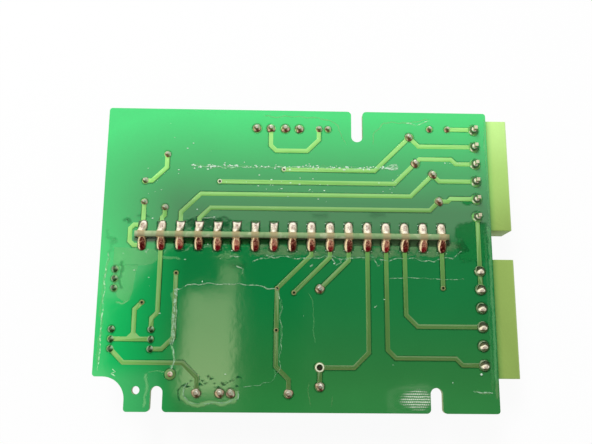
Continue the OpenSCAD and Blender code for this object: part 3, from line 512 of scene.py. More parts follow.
# painted shade: the strip's colour is painted darker on its near face and low down by the board
lit = (y - slot_y).fade(-0.8, 0.45, 0.42, 1.0) * z.fade(0.6, 1.9, 0.6, 1.0)
green_face = (mottle(place, 8) * 0.3 + 0.85).times((34, 128, 66))
face = (abs(y - slot_y) - 0.74).fade(-0.005, 0.005) * z.fade(-1.0, -1.6)
set_finish(place, color=face.blend(lit.times(whole), green_face),
           rough=streak.fade(0, 1, 0.42, 0.6), height=streak * 0.03 + mottle(place, 0.2) * 0.01)
dress(pale, "daughterboard")
dress(cloudy("contact_plating", 0.8, (196, 160, 112), (228, 204, 160), (0.3, 0.5), metal=0.9),
      "daughterboard_contacts")


# ---- Contact joints ----
# Hand-soldered fillets join each contact to its pad on both sides of the
# daughterboard: bright and crystalline above; below, red-brown with burnt flux
# and with a painted reflection of the warm room. A dark painted shade rings the
# foot of each fillet.
random.seed(17)


def fillet(shape, x, side, half, tip, length, high, lean=0.0, start=0.0, notch=0.0, round_end=0.0, neck=1.0,
           horn=1.3, seed=0):
    """One joint: a grid laid over the pad, heaped against the contact and closed underneath.
    half and tip are its half widths in the middle and at the far end, neck the share at the contact."""
    made = bmesh.ops.create_grid(shape, x_segments=14, y_segments=18, size=1)["verts"]
    faces = list({f for v in made for f in v.link_faces})
    for vert in made:
        u, v = vert.co.x, (vert.co.y + 1) / 2
        reach = length * v * (1 - round_end * abs(u) ** 2.6 - notch * (1 - abs(u) ** 1.4))
        wide = half * (neck + (1 - neck) * min(1, v / 0.24))
        wide += (tip - half) * max(0, (v - 0.45) / 0.55) ** horn
        heap = high * ((1 - v) ** 1.7 * 0.72 + 0.28 * (1 - v ** 3))
        ridge = (1 - abs(u) ** 2.4) ** 0.55
        bump = noise.noise(Vector((u * 1.7 + seed * 9.1, v * 2.6, seed * 3.7))) * 0.16
        vert.co = at(x + u * wide + start * (1 - min(1, v / 0.5)) + lean * v, slot_y + side * (0.85 + reach),
                     0.13 + max(0.0, (heap + bump * (1 - v * 0.5)) * ridge + 0.06 * (1 - v ** 4)))
    base = bmesh.ops.extrude_face_region(shape, geom=faces)["geom"]
    for vert in base:
        if isinstance(vert, bmesh.types.BMVert):
            vert.co.z = at(0, 0, 0.06).z


# how each joint of the upper row ended up, from left to right
upper_looks = [dict(half=1.16, tip=1.0, start=start, lean=lean, round_end=0.3)
               for start, lean in ((-0.4, 0.26), (-0.3, 0.22))]
upper_looks += [dict(half=1.02, tip=1.3, start=-0.4, lean=0.1, notch=notch, neck=0.7, horn=1.4)
                for notch in (0.14, 0.07, 0.1, 0.12)]
upper_looks += [dict(half=1.0, tip=1.36, start=-0.1, lean=0.08, notch=0.14, horn=7.0)] * 2
upper_looks += [dict(half=1.22, tip=1.06, lean=0.02, round_end=0.26, neck=0.97)] * 9
upper, lower = bmesh.new(), bmesh.new()
for number, looks in enumerate(upper_looks):
    x = first_contact + number * contact_step
    fillet(upper, x, 1, length=3.25 + random.uniform(-0.08, 0.08), high=1.42, seed=number, **looks)
    fillet(lower, x + random.uniform(-0.06, 0.06), -1, length=3.4 + random.uniform(-0.15, 0.1), high=1.5,
           half=1.2, tip=0.98, lean=-0.06, round_end=0.2, neck=0.92, seed=number + 40)
face_out(upper)
face_out(lower)

bright, place = new_finish("bright_solder")
x, y, z = place.parts()
along = from_contact(x)
fleck = mottle(place, 0.42, 2.0, 0.5, 0.8)
lines = mottle(place, 0.7, 2.0, 0.5, 1.5, (1.6, 0.8, 1))
middle_part = (abs(along - 0.1) + mottle(place, 0.7) * 0.4).fade(0.95, 0.5) * y.band(6.7, 8.3, 0.3)
pink = (fleck.fade(0.44, 0.56) * 0.6 + abs(lines - 0.5).fade(0.07, 0.02) * 0.8).least(1) * middle_part
# painted shade: the fillet's foot, by the board, is painted dark olive
skirt = z.fade(0.34, 0.16)
tone = coated(mottle(place, 1.3).blend((230, 218, 194), (252, 249, 238)),
              ((abs(along) - 0.85).fade(0, 0.3) * 0.5, (186, 166, 122)),
              (pink * 0.85, (126, 78, 68)), (skirt, (66, 62, 40)))
set_finish(place, color=tone, metal=0.6 - skirt * 0.6, rough=fleck.fade(0.2, 0.8, 0.2, 0.36),
           height=fleck * 0.05 + mottle(place, 0.16) * 0.012)
finish_piece("upper_contact_fillets", upper, bright, "upper_solder", "upper_contact_solder", crease=60)

flux_and_reflection_solder, place = new_finish("solder_flux_and_painted_reflection")
x, y, z = place.parts()
steps_along = (x - first_contact + contact_step / 2) / contact_step
chance = (steps_along.math("FLOOR", steps_along) * 0.37 + 0.11) % 1.0
cloud = mottle(place, 1.1, 2.0, 0.5, 0.6)
fleck = mottle(place, 0.45, 2.0, 0.5, 0.5)
across = from_contact(x) + cloud * 0.4 - 0.34
down = y * -1 + 4.1 - cloud * 0.8 - chance * 0.3
lens = (abs(across - down * 0.06) / 0.76) ** 2.4 + (abs(down - 1.3) / 1.8) ** 2.6
low = (down - abs(across) * 0.25).fade(0.75, 1.45)
# painted reflection of the warm room, mixed with burnt flux: the lens is pinkish brown high up and deep red
# low down
pink_flux_and_reflection = (fleck + chance * 0.3 - 0.15).fade(0.36, 0.62).blend((104, 50, 38), (210, 154, 128))
red_flux_and_reflection = coated(chance.blend((70, 12, 10), (150, 20, 36)), (fleck.fade(0.55, 0.7), (170, 84, 74)))
# painted shade: the fillet's foot, by the board, is painted dark olive
skirt = z.fade(0.3, 0.16)
tone = coated(fleck.blend((222, 192, 150), (252, 240, 210)),
              (lens.fade(1.15, 0.85), low.blend(pink_flux_and_reflection, red_flux_and_reflection)),
              (across.fade(0.62, 0.8) * 0.8, (172, 132, 94)), (skirt, (52, 50, 26)))
set_finish(place, color=tone, metal=0.5 - skirt * 0.5, rough=fleck.fade(0.2, 0.8, 0.16, 0.34),
           height=fleck * 0.06 + mottle(place, 0.16) * 0.01)
finish_piece("lower_contact_fillets", lower, flux_and_reflection_solder, "lower_solder", "lower_contact_solder", crease=60)


# ---- Header joints ----
# Square brass pins, tinned, come through 12 big pads. The upper six stand tall
# in a steep cone of solder; the lower six are short and buried in a full dome.
def turned(shape, x, y, profile, steps=28, lean=(0, 0), wobble=0.0, seed=0):
    """Spins a profile of (radius, height) pairs in mm round an upright axis, then leans and dents it.
    Each vert keeps its way from the axis, in mm, in from_pin."""
    local = shape.verts.layers.float_vector.get("from_pin") or shape.verts.layers.float_vector.new("from_pin")
    before = set(shape.verts)
    spun(shape, x, y, profile, steps)
    made = [v for v in shape.verts if v not in before]
    bmesh.ops.remove_doubles(shape, verts=made, dist=0.004 * mm)
    low, high = min(h for r, h in profile), max(h for r, h in profile)
    for vert in [v for v in shape.verts if v not in before]:
        offset = (vert.co - at(x, y)) / mm
        rise = (offset.z - low) / (high - low)
        vert[local] = offset
        spot = Vector((offset.x * 0.9 + seed * 5.3, offset.y * 0.9, offset.z * 0.9 + seed))
        push = noise.noise(spot) * wobble
        vert.co += Vector((lean[0] * rise + offset.x * push, lean[1] * rise + offset.y * push,
                           push * 0.4 * rise)) * mm


pin_x, pin_top, pin_step, pins_between = 49.4, 36.15, 5, 2
cone = [(1.52, 0.08), (1.45, 0.16), (1.05, 0.4), (0.82, 0.8), (0.72, 1.3), (0.66, 1.55), (0.4, 1.62)]
dome = [(1.46, 0.08), (1.42, 0.2), (1.3, 0.5), (1.1, 0.85), (0.82, 1.15), (0.6, 1.32), (0.4, 1.46),
        (0.2, 1.54), (0.0, 1.56)]
pin_joints = bmesh.new()
for number in range(12):
    upper_row = number < 6
    turned(pin_joints, pin_x, pin_top - pin_step * (number + (0 if upper_row else pins_between)),
           cone if upper_row else dome, wobble=0.22 if upper_row else 0.16, seed=number + 3)
face_out(pin_joints)

silver, place = new_finish("pin_solder")
dx, dy, dz = carried(place, "from_pin", "Vector").parts()
fleck = mottle(place, 0.8, 2.0, 0.5, 0.5)
out = (dx * dx + dy * dy) ** 0.5 + fleck * 0.3 - 0.15
tilt = (dx * -0.72 - dy * 0.69) / out.most(0.1)
tall = place.parts()[1].fade(9.6, 9.8)  # 1 at the upper header, 0 at the lower
# the tall cones, in painted light: sides painted dark grey-green as a dark reflection, a bright crescent
# painted at the lower left as a highlight, a green foot painted lighter toward the lower left, and a top
# painted pinkish-white as a highlight, turning brown toward its upper right
crescent = tilt.fade(0.78, 0.97) * out.band(1.1, 1.4, 0.08) * fleck.fade(0.3, 0.5)
flange = crescent.fade(0.6, 0.2) * out.fade(0.98, 1.22)
cone = coated(fleck.blend((40, 58, 36), (126, 146, 110)),
              (crescent, (226, 242, 216)),
              (flange, tilt.fade(-0.3, 0.6).blend((44, 126, 66), (112, 188, 96))),
              (dz.fade(1.0, 1.3), tilt.fade(0.5, -0.6).blend((252, 246, 236), (150, 108, 88))))
flat = tall * flange
# the domes, in painted light: olive, painted darker toward the upper side as a dark reflection, a cream
# highlight painted across the middle, a thin pale ring painted as a highlight, and a dark painted shade round
# the foot
glint = ((dx + 0.1 + fleck * 0.5 - 0.25) / 1.1) ** 2 + ((dy + 0.2 + abs(dx) * 0.25) / 0.52) ** 2
ring = tilt.fade(0.3, 0.9).most((dx * -0.5 + dy * 0.86).fade(0.4, 1.2)) * out.band(1.22, 1.42, 0.08) * 0.8
dome = coated((dy * 0.5 + fleck * 1.4 - 0.7).fade(-0.6, 0.6).blend((116, 118, 84), (38, 52, 28)),
              (glint.fade(1.2, 0.6), (252, 248, 228)), (ring, (206, 224, 186)),
              (out.fade(1.34, 1.44), (28, 60, 30)))
set_finish(place, color=tall.blend(dome, cone), metal=0.45 - flat * 0.4,
           rough=fleck.fade(0.2, 0.8, 0.16, 0.3) + flat * 0.3,
           height=fleck * 0.03 + mottle(place, 0.2) * 0.006)
finish_piece("header_pin_joints", pin_joints, silver, "pin_solder", "header_pin_solder", crease=60)
dress(cloudy("tinned_brass", 0.8, (206, 196, 168), (242, 238, 224), (0.18, 0.34), 0.015, metal=0.95),
      "upper_header_pins", "lower_header_pins")


# ---- Lead joints ----
# Every wire lead is soldered to its pad and clipped: a small cone with the cut
# end of the wire in its tip, leaning the way the lead was bent.
random.seed(32)
lead_joints = bmesh.new()
rectifier = [(-11.64 + 3.96 * n, 35.8) for n in range(4)]
discs = [(31.1, 33.75), (32.6, 26.15), (37.4, 22.95), (38.9, 15.35)]
relay = [(x, -36.4) for x in (-26, -19.95, -17.1, -2.15)]
cell = [(6, -9.2), (6, -34.6)]
small = [(5.73, 35.8), (8.27, 35.8), (-36.3, 27.85), (-36.3, 12.75), (-42, 20.2), (-42, 14.2),
         (36.96, 36.3), (42.04, 36.3)]
strips = [(-48.8, -6.9), (-48.8, -22.75), (-38.45, -22.75)]
jumpers = [(x, y + d) for x, y in strips for d in (2.54, 0, -2.54)]
# radius and height, in mm, from the foot to the cut end of the wire
wide_cone = [(1.2, 0.08), (1.15, 0.17), (0.86, 0.42), (0.66, 0.75), (0.56, 1.0), (0.48, 1.2), (0.3, 1.36),
             (0, 1.42)]
slim_cone = [(0.86, 0.08), (0.82, 0.16), (0.62, 0.38), (0.48, 0.7), (0.42, 1.0), (0.36, 1.25), (0.2, 1.38),
             (0, 1.42)]
full_cone = [(0.86, 0.08), (0.82, 0.18), (0.7, 0.45), (0.55, 0.8), (0.45, 1.1), (0.38, 1.32), (0.2, 1.4),
             (0, 1.42)]
flat_drop = [(0.72, 0.08), (0.7, 0.2), (0.5, 0.3), (0.25, 0.22), (0, 0.18)]
rectifier_leans = [(-0.1, 0.25), (-0.1, 0.25), (0.0, 0.2), (-0.1, 0.2)]
for number, (x, y) in enumerate(rectifier + discs + relay + cell):
    lean = rectifier_leans[number] if number < len(rectifier_leans) else (
        random.uniform(-0.2, 0.2), random.uniform(0.0, 0.25))
    turned(lead_joints, x, y, wide_cone, 24, lean, 0.3, number)
for number, (x, y) in enumerate(small):
    lean = random.uniform(-0.15, 0.15), random.uniform(-0.05, 0.2)
    turned(lead_joints, x, y, slim_cone, 20, lean, 0.3, number + 20)
for number, (x, y) in enumerate(jumpers):
    turned(lead_joints, x, y, full_cone, 20, (0, 0.05), 0.2, number + 40)
turned(lead_joints, -32.9, -31.7, flat_drop, 24, seed=80)
face_out(lead_joints)

grey, place = new_finish("lead_solder")
x, y = place.parts()[:2]
dx, dy, dz = carried(place, "from_pin", "Vector").parts()
fleck = mottle(place, 0.6, 2.0, 0.5, 0.5)
out = (dx * dx + dy * dy) ** 0.5
tilt = (dx * -0.5 - dy * 0.87) + fleck * 0.5 - 0.25
shine = ((dx - 0.15) * 1.2 + dy * 0.7).band(0.3, 0.8, 0.2) * 0.6
top = (dz.fade(0.7, 1.1) * tilt.fade(0.22, -0.1)).most(shine)
sides = (dx.fade(-0.1, -0.4) * 0.9).most(dx.fade(0.2, 0.45) * dy.fade(-0.4, 0.3)) * out.fade(0.95, 0.8)
# painted light over the cream solder: the lower side painted brown as the warm room's reflection, a cream
# highlight on the lower-left rim, white highlights high on the tip and in a band across it, and a dark
# painted shade round the foot
body = coated(
    fleck.blend((180, 156, 132), (238, 226, 206)),
    (tilt.fade(0.0, 0.5), fleck.blend((92, 42, 34), (166, 110, 92))),
    ((dx * -0.8 - dy * 0.6).fade(0.45, 0.9) * 0.8, (226, 208, 176)),
    (top, (252, 248, 240)),
    # the jumpers' joints are painted dark olive, with painted highlights on their two sides
    (x.fade(-37, -38) * y.fade(0, -2),
     sides.blend(fleck.blend((28, 58, 34), (84, 96, 70)), (228, 236, 220))),
    (out.fade(0.98, 1.12), (88, 84, 56)))
set_finish(place, color=body, metal=0.5, rough=fleck.fade(0.2, 0.8, 0.18, 0.3),
           height=fleck * 0.03 + mottle(place, 0.2) * 0.006)
finish_piece("lead_joints", lead_joints, grey, "lead_solder", "lead_solder", crease=60)


# ---- Lacquer and flux marks ----
# A brushed coat of clear lacquer and the flux of hand soldering dried in beads,
# smears and spatter: along the masking tape's edge, round the taped patch at
# the lower left and round the lowest joints.
film_high, smear_high, bead_high = 0.02, 0.03, 0.1  # above the board, in mm
noise.seed_set(5)  # the vector noise is drawn from the clock otherwise


def fade_layers(shape):
    """The two vert layers that a mark's material reads: its strength and its level."""
    layers = shape.verts.layers.float
    return [layers.get(key) or layers.new(key) for key in ("strength", "level")]


def face_along(faces, way):
    """Flips those faces that look against a direction."""
    for face in faces:
        face.normal_update()
        if face.normal.dot(way) < 0:
            face.normal_flip()


def film(shape, points, soft, level=1.0):
    """Lays a thin flat film inside points in mm. Its strength rises to 1 over soft mm from the rim."""
    strength, most = fade_layers(shape)
    verts = [shape.verts.new(at(x, y, film_high)) for x, y in points]
    sheet = bmesh.ops.contextual_create(shape, geom=verts)["faces"]
    rim = bmesh.ops.inset_region(shape, faces=sheet, use_boundary=True, use_even_offset=True,
                                 thickness=soft * mm)["faces"]
    for vert in {v for f in rim for v in f.verts}:
        vert[most] = level
    for vert in {v for f in sheet for v in f.verts}:
        vert[strength], vert[most] = 1.0, level
    face_along(sheet + rim, Vector((0, 0, 1)))


def wandering(points, sway, seed):
    """Steps of half a mm along points in mm, each pushed aside a little."""
    stops = [Vector(p) for p in points]
    steps = [a.lerp(b, k / n) for a, b in zip(stops, stops[1:])
             for n in [max(1, round((b - a).length / 0.5))] for k in range(n)] + [stops[-1]]
    for step in steps:
        push = noise.noise_vector(Vector((step.x * 0.4, step.y * 0.4, seed * 7.7))) * sway * 2
        push += noise.noise_vector(Vector((step.x * 1.1, step.y * 1.1, seed * 3.1))) * sway * 0.5
        step += push.xy
    return steps


def kept_on_board(vert):
    """Holds a mark's vert within the board's outline."""
    vert.co.x = min(max(vert.co.x, board_low.x), board_high.x)
    vert.co.y = min(max(vert.co.y, board_low.y), board_high.y)


def strip(shape, line, sides, way):
    """Widens a line of verts to both sides, each vert by its own push, with faces that look along way.
    Gives the verts along the strip's edges."""
    spine = [shape.edges.new(pair) for pair in zip(line, line[1:])]
    edges = []
    for side in (1, -1):
        verts, faces = drawn_out(shape, spine)
        for vert in verts:
            vert.co += sides[root_of(vert, sides)] * side
        face_along(faces, way)
        edges += verts
    return edges


def smear(shape, points, width, level=1.0, sway=0.25, seed=0):
    """Lays a soft strip width mm wide along points in mm, strongest along its middle."""
    strength, most = fade_layers(shape)
    steps = wandering(points, sway, seed)
    line = [shape.verts.new(at(s.x, s.y, smear_high)) for s in steps]
    last = len(line) - 1
    sides = {}
    for number, vert in enumerate(line):
        vert[strength], vert[most] = min(1.0, number * 0.5, (last - number) * 0.5), level
        along = steps[min(number + 1, last)] - steps[max(number - 1, 0)]
        spot = Vector((steps[number].x * 0.7, steps[number].y * 0.7, seed + 4.5))
        wide = width * (1 + 0.4 * noise.noise(spot))
        sides[vert] = Vector((-along.y, along.x, 0)).normalized() * wide / 2 * mm
    for vert in strip(shape, line, sides, Vector((0, 0, 1))):
        kept_on_board(vert)
        vert[strength], vert[most] = 0.0, level


def oblong(left, right, low, high, cut=0.25):
    """The corners of an oblong with cut corners."""
    nip = min(right - left, high - low) * cut
    return [(left + nip, low), (right - nip, low), (right, low + nip), (right, high - nip),
            (right - nip, high), (left + nip, high), (left, high - nip), (left, low + nip)]


def painted_glow_colour(place, share, top, shade):
    """A see-through mark's colour: it takes share of the painted light of the coating under it, up to top."""
    x, y = place.parts()[:2]
    return (painted_glow(x, y) * share + (1 - share)).least(top).times(shade)


# brown flux round the contacts, over the right end of their row and by the lowest joints, with a painted
# shadow along the daughterboard's edge and painted shade round each joint
dark_film = bmesh.new()
film(dark_film, oblong(-38, 41.6, 2.6, 4.9), 0.9, 0.9)
film(dark_film, [(-31.5, 6), (-31.4, 9.6), (-27, 11.6), (-22, 10.8), (-17, 9.8), (-18, 6)], 2.0, 0.5)
film(dark_film, [(43.6, -2), (42.6, 3), (42.2, 7.6), (44, 10), (48.4, 10.8), (52.6, 10.2), (52.6, -2)],
     1.6, 0.7)
smear(dark_film, [(44.8, 15.8), (46.8, 15.1), (48.6, 15.2), (50.6, 15.9)], 1.9, 0.75, 0.1, 3)
for x, y in [(-16, -3), (6, 11), (22, 11.4)]:
    film(dark_film, oblong(x - 3, x + 3, y - 1.6, y + 1.6), 1.5, 0.12)
# painted shade round each joint, below and above the daughterboard's edge
for number in range(1, contacts):
    x = first_contact + number * contact_step
    film(dark_film, oblong(x - 1.8, x + 1.7, 0.2, 4.4), 0.6, 0.6)
    film(dark_film, oblong(x - 1.6, x + 1.6, 5.6, 9.5), 0.45, 0.45)
for number, (level, points) in enumerate([
        (0.3, [(-48.2, 8.8), (-46.4, 9.6), (-45.4, 8.2), (-46.6, 7.4)]),
        (0.12, [(-52, 7), (-50.4, 4.4), (-49, 3.6)]), (0.12, [(-49, 4), (-50, 1), (-51, -1.6)]),
        (0.3, [(-44.6, 10.2), (-42, 10.8), (-40, 9.8)]),
        (0.3, [(-47.6, -1.6), (-46.8, -4), (-47.2, -7), (-46.8, -10.4)]),
        (0.3, [(-31, 8.4), (-29, 9.8), (-26, 9.2), (-24, 10.2)]),
        (0.3, [(-23, 8.6), (-20, 10), (-17, 9.2)])]):
    smear(dark_film, points, 1.7, level, 0.5, number + 80)
random.seed(4)
for number in range(20):
    x, y = -29.5 + number * 0.72, random.uniform(-35, -32.6)
    points = [(x, y), (x + 0.8, y + random.uniform(-0.5, 0.6)), (x + 1.9, y + random.uniform(-0.3, 0.3))]
    smear(dark_film, points, 1.1, random.uniform(0.5, 0.9), 0.2, number)
smear(dark_film, [(-27.4, -33.8), (-29.4, -34.4), (-30.6, -35.6), (-30.6, -37.4), (-29.6, -39)],
      0.9, 0.6, 0.1, 95)
flux_and_shadow, place = new_finish("flux_and_painted_shadow")
cloud = mottle(place, 2.2, 3.0, 0.6, 1.2, (0.6, 1.1, 1))
x, y = place.parts()[:2]
# painted shadow along the daughterboard's edge: dark green, greyer toward the right
beside = y.band(2.5, 4.4, 0.4) * x.fade(42, 41.2)
pool = painted_glow(x, y).times(x.fade(41, 43).blend((8, 88, 44), (22, 130, 62)))
cover = (carried(place, "strength") * 2.2 + (cloud - 0.5) * 3.4 - 0.9 + beside).fade(-0.4, 1.2)
set_finish(place, color=beside.blend(pool, x.fade(-6, 20).blend((20, 86, 32), (78, 112, 72))),
           rough=0.3, gloss=0.12, alpha=cover * carried(place, "level"))
finish_piece("flux_and_shadow_film", dark_film, flux_and_shadow, "laminate")

# a grey-green haze of dried flux below the right half of the row
pale_film = bmesh.new()
film(pale_film, [(-14, -1.2), (-10, -1.8), (6, -1.5), (20, -1.9), (38, -1.4), (47, 1.6), (45, 5), (20, 4.4),
                 (-10, 4.4), (-14, 3)], 2.0, 0.45)
haze, place = new_finish("flux_haze")
cloud = mottle(place, 1.8, 3.0, 0.6, 1.0, (0.6, 1, 1))
cover = (carried(place, "strength") * 2.2 + (cloud - 0.5) * 5 - 1.3).fade(-0.4, 1.4)
set_finish(place, color=mottle(place, 3).blend((96, 142, 98), (142, 176, 122)), rough=0.3, gloss=0.2,
           alpha=cover * carried(place, "level"))
finish_piece("haze_film", pale_film, haze, "laminate")

# milky lacquer: a tongue of it runs down from the contacts' left end, and it edges the board and the tape
milk = bmesh.new()
tongue = [(-49.6, 1.8), (-38.2, 1.4), (-37.3, 0.6), (-37.2, -0.8), (-37.8, -2.2), (-39, -3.1), (-41, -3.5),
          (-49.6, -3.5)]
trickle = [(-49.6, -3), (-42.4, -3), (-43, -5), (-43.4, -8), (-43.6, -10.6), (-44.4, -12.6), (-46, -13.4),
           (-48, -12), (-49.4, -8)]
for points in (tongue, trickle):
    film(milk, points, 0.5, 0.36)
for number, (width, level, points) in enumerate([
        (1.7, 0.85, [(-28.6, -34.2), (-29.6, -35.6), (-29.5, -37.6), (-28, -39.1), (-24, -39.2), (-19, -38.8),
                     (-16, -38.2), (-15.4, -36.6), (-16.2, -35.2)]),
        (0.9, 0.8, [(-33.2, -24), (-32.2, -25.5), (-32.0, -28.5), (-32.7, -30.6)]),
        (1.1, 0.4, [(-33.2, -10.2), (-32.6, -16), (-32.8, -23.6)]),
        (0.9, 0.35, [(-50.8, 0), (-51.4, -8), (-51.6, -20), (-51.8, -30)]),
        (1.1, 0.6, [(-39, -31), (-38.9, -35), (-38.8, -38), (-39.2, -40.6)]),
        (0.5, 0.4, [(-39, -31.2), (-36, -31), (-33.4, -31)]),
        (1.4, 0.3, [(-30, 24.6), (-10, 24.4), (10, 24.7), (27, 24.6)]),
        (0.6, 0.5, [(-10, 39.6), (0, 39.5), (6, 39), (11.2, 37.4), (12.2, 34), (13.4, 31.4)]),
        (0.6, 0.5, [(20.4, 31.2), (21, 34), (23.4, 37.4), (25.8, 38.3), (31, 38), (37, 39.2)]),
        (0.8, 0.5, [(-48.4, -13), (-46.6, -13.6), (-44, -12.4)]),
        (1.0, 0.45, [(-37.6, -0.6), (-34, -1.6), (-31, -1)]),
        (0.4, 0.3, [(3.4, -10), (4.4, -14), (4.6, -24)]), (0.4, 0.3, [(3.6, -33), (2.8, -36), (4, -40)]),
        (0.4, 0.3, [(9.5, -36.5), (9, -40.2)]), (0.6, 0.5, [(46.4, -35.6), (49, -36.2), (51, -36)]),
        (0.7, 0.25, [(-4.4, -12), (-4.2, -22), (-5.6, -32)])]):
    smear(milk, points, width, level, 0.3, number + 100)
for width, level, x, high, low in ((1.3, 0.45, 52.4, 9, -38), (0.7, 0.45, 52.7, 40, 8),
                                   (0.9, 0.14, 51.3, 7, -36)):
    smear(milk, [(x, high), (x, low)], width, level, 0.16, high)
milky, place = new_finish("milky_lacquer")
x, y = place.parts()[:2]
ring = y.fade(-32, -34) * x.fade(-36, -34)
shade = mottle(place, 2.5).blend(ring.blend((92, 178, 106), (104, 160, 94)),
                                 ring.blend((126, 198, 132), (130, 178, 116)))
cover = (carried(place, "strength") + mottle(place, 2.0) * 0.5 - 0.25).fade(0.05, 0.8)
set_finish(place, color=painted_glow_colour(place, 0.3, 1.5, shade), rough=0.3, gloss=0.3,
           alpha=cover * carried(place, "level"))
finish_piece("milky_smears", milk, milky, "laminate")

# where the weave of the cloth shows through the mask, a painted reflection of a window glints in its crests
glints = bmesh.new()
film(glints, oblong(25.6, 35.15, -40.9, -34.6), 0.6, 1.0)
glint, place = new_finish("weave_glint")
x, y = place.parts()[:2]
crest = (x + y * 0.3).wave(0.5).fade(-1.6, 0.8) * ((y + mottle(place, 1.5) * 0.3).wave(0.66).fade(-0.9, 0.8))
lit = (((x - 31.4) / 4.9) ** 2 + ((y + 37.7) / 2.9) ** 2 + mottle(place, 2.0) * 0.7).fade(1.4, 0.55)
cover = carried(place, "strength") * lit * crest.fade(0, 1, 0.34, 1.0)
set_finish(place, color=crest.blend((110, 176, 116), (240, 250, 230)), rough=0.25, gloss=0.5,
           alpha=cover * (mottle(place, 1.5, 3.0) + 0.45).least(1), height=crest * 0.02)
finish_piece("weave_glints", glints, glint, "laminate")


def bead(shape, points, width, high, sway=0.25, seed=0):
    """Lays a low bead along points in mm: a round cord, flattened until it is high mm tall."""
    path = bpy.data.curves.new("bead", "CURVE")
    path.dimensions = "3D"
    path.bevel_depth = width / 2 * mm
    path.bevel_resolution = 1
    path.use_fill_caps = True
    spline = path.splines.new("POLY")
    steps = wandering(points, sway, seed)
    spline.points.add(len(steps) - 1)
    for point, step in zip(spline.points, steps):
        point.co = (*at(step.x, step.y), 1)
        point.radius = 0.75 + 0.6 * noise.noise(Vector((step.x, step.y, seed + 20.5)))
    thing = bpy.data.objects.new("bead", path)
    scene.collection.objects.link(thing)
    before = set(shape.verts)
    shape.from_mesh(thing.evaluated_get(bpy.context.evaluated_depsgraph_get()).to_mesh())
    for vert in [v for v in shape.verts if v not in before]:
        vert.co.z = at(0, 0, bead_high).z + (vert.co.z - board_high.z) * high / (width / 2)
        kept_on_board(vert)
    bpy.data.objects.remove(thing)


# each bead: its width and height in mm, how far it sways, its seed and its course
thick, thin = bmesh.new(), bmesh.new()
tape_end = [(23.6, 24.6), (25.4, 25.6), (27.4, 25.4), (27.6, 24.5), (25.6, 24.4), (24.8, 24.8), (26.6, 25.2)]
drip = [(-32.5, -9.6), (-32.4, -15), (-32.6, -22), (-33.0, -24)]
short_marks = [
    [(-26, 9.6), (-24, 10.2), (-22.4, 9.6)], [(-18.4, -0.6), (-17, -0.9), (-15.6, -0.5)],
    [(-8.4, -0.3), (-6.6, -0.8), (-4.8, -0.4)],
    [(-47.6, -30.4), (-46.9, -31.2), (-48, -31.6), (-47.1, -32.4)],
    [(-35.9, 0.2), (-35.4, 0.8)], [(-16.4, -3.4), (-14.6, -4), (-14.8, -5.2)],
    [(30, 38.2), (33, 37.2), (37, 38.8)], [(46, -35.8), (49, -36.1), (51, -36)]]
for width, high, sway, seed, points in (
        *((0.4, 0.04, 0.3, seed, tape_end) for seed in (3, 4)),
        (0.32, 0.04, 0.35, 5, [(-32.6, -10), (-30, -8.8), (-27.8, -8.1), (-13.7, -8.2), (-9, -8.6),
                               (-5.2, -9.4), (-4.3, -12)]),
        *((0.3, 0.06, 0.26, 60 + n, [(x + 0.16 * (n - 2), y) for x, y in drip]) for n in range(5)),
        (0.5, 0.06, 0.1, 65, [(-33, -24), (-32.2, -25.5), (-32.0, -28.5), (-32.8, -30.6)]),
        *((0.32, 0.04, 0.3, 30 + n, points) for n, points in enumerate(short_marks)),
        (0.6, 0.1, 0.0, 50, [(3.4, -3.2), (4.1, -2.6)]),
        (0.35, 0.06, 0.1, 51, [(20.6, -13.9), (21.4, -13.3)]),
        (0.5, 0.1, 0.0, 52, [(-40.9, 0.2), (-40.1, 1.2)])):
    bead(thick, points, width, high, sway, seed)
for width, high, sway, seed, points in (
        (0.3, 0.03, 0.3, 1, [(-29, 24.5), (-15, 24.4), (0, 24.6), (12, 24.4), (24, 24.7), (27, 24.5)]),
        (0.2, 0.03, 0.3, 6, [(-4.3, -12), (-4.1, -20), (-4.3, -30), (-6, -33), (-9.5, -34.4), (-14, -34.6)]),
        (0.4, 0.06, 0.25, 12, [(-27.4, -33.9), (-29, -35), (-29.3, -36.8), (-27.4, -38.9), (-22, -38.8),
                               (-17.5, -38.6), (-15, -37.6), (-15.2, -35.6)]),
        (0.4, 0.03, 0.2, 14, [(-50.8, 0), (-51.3, -4), (-51.4, -14), (-51.6, -31)]),
        (0.4, 0.04, 0.45, 16, [(-12, -1.6), (-6, -0.2), (0, -1.1), (7, -0.4), (13, -1.2), (19, -0.6),
                               (25, -1.4), (31, -0.5), (37, -1.3), (42, -0.2), (45, 1.5)]),
        (0.35, 0.04, 0.2, 17, [(9.4, -1), (10.6, -2.8), (12, -1.8), (11.2, -0.9)]),
        (0.35, 0.04, 0.2, 18, [(20.6, -0.8), (21.6, -2.6), (22.9, -2), (22.4, -0.8)]),
        (0.22, 0.02, 0.2, 20, [(25, -6.2), (33, -5.9), (45, -6.3)])):
    bead(thin, points, width, high, sway, seed)


def drop(place, size, squeeze=(1, 1, 1), facets=1):
    """Leaves a drop of lacquer, size mm in radius before it is squeezed."""
    made = bmesh.ops.create_icosphere(spatter, subdivisions=facets, radius=size * mm)["verts"]
    bmesh.ops.scale(spatter, verts=made, vec=squeeze)
    bmesh.ops.translate(spatter, verts=made, vec=place)


def strewn(count, x, wide, y, high):
    """Spots strewn round a place."""
    return [(random.gauss(x, wide), random.gauss(y, high)) for n in range(count)]


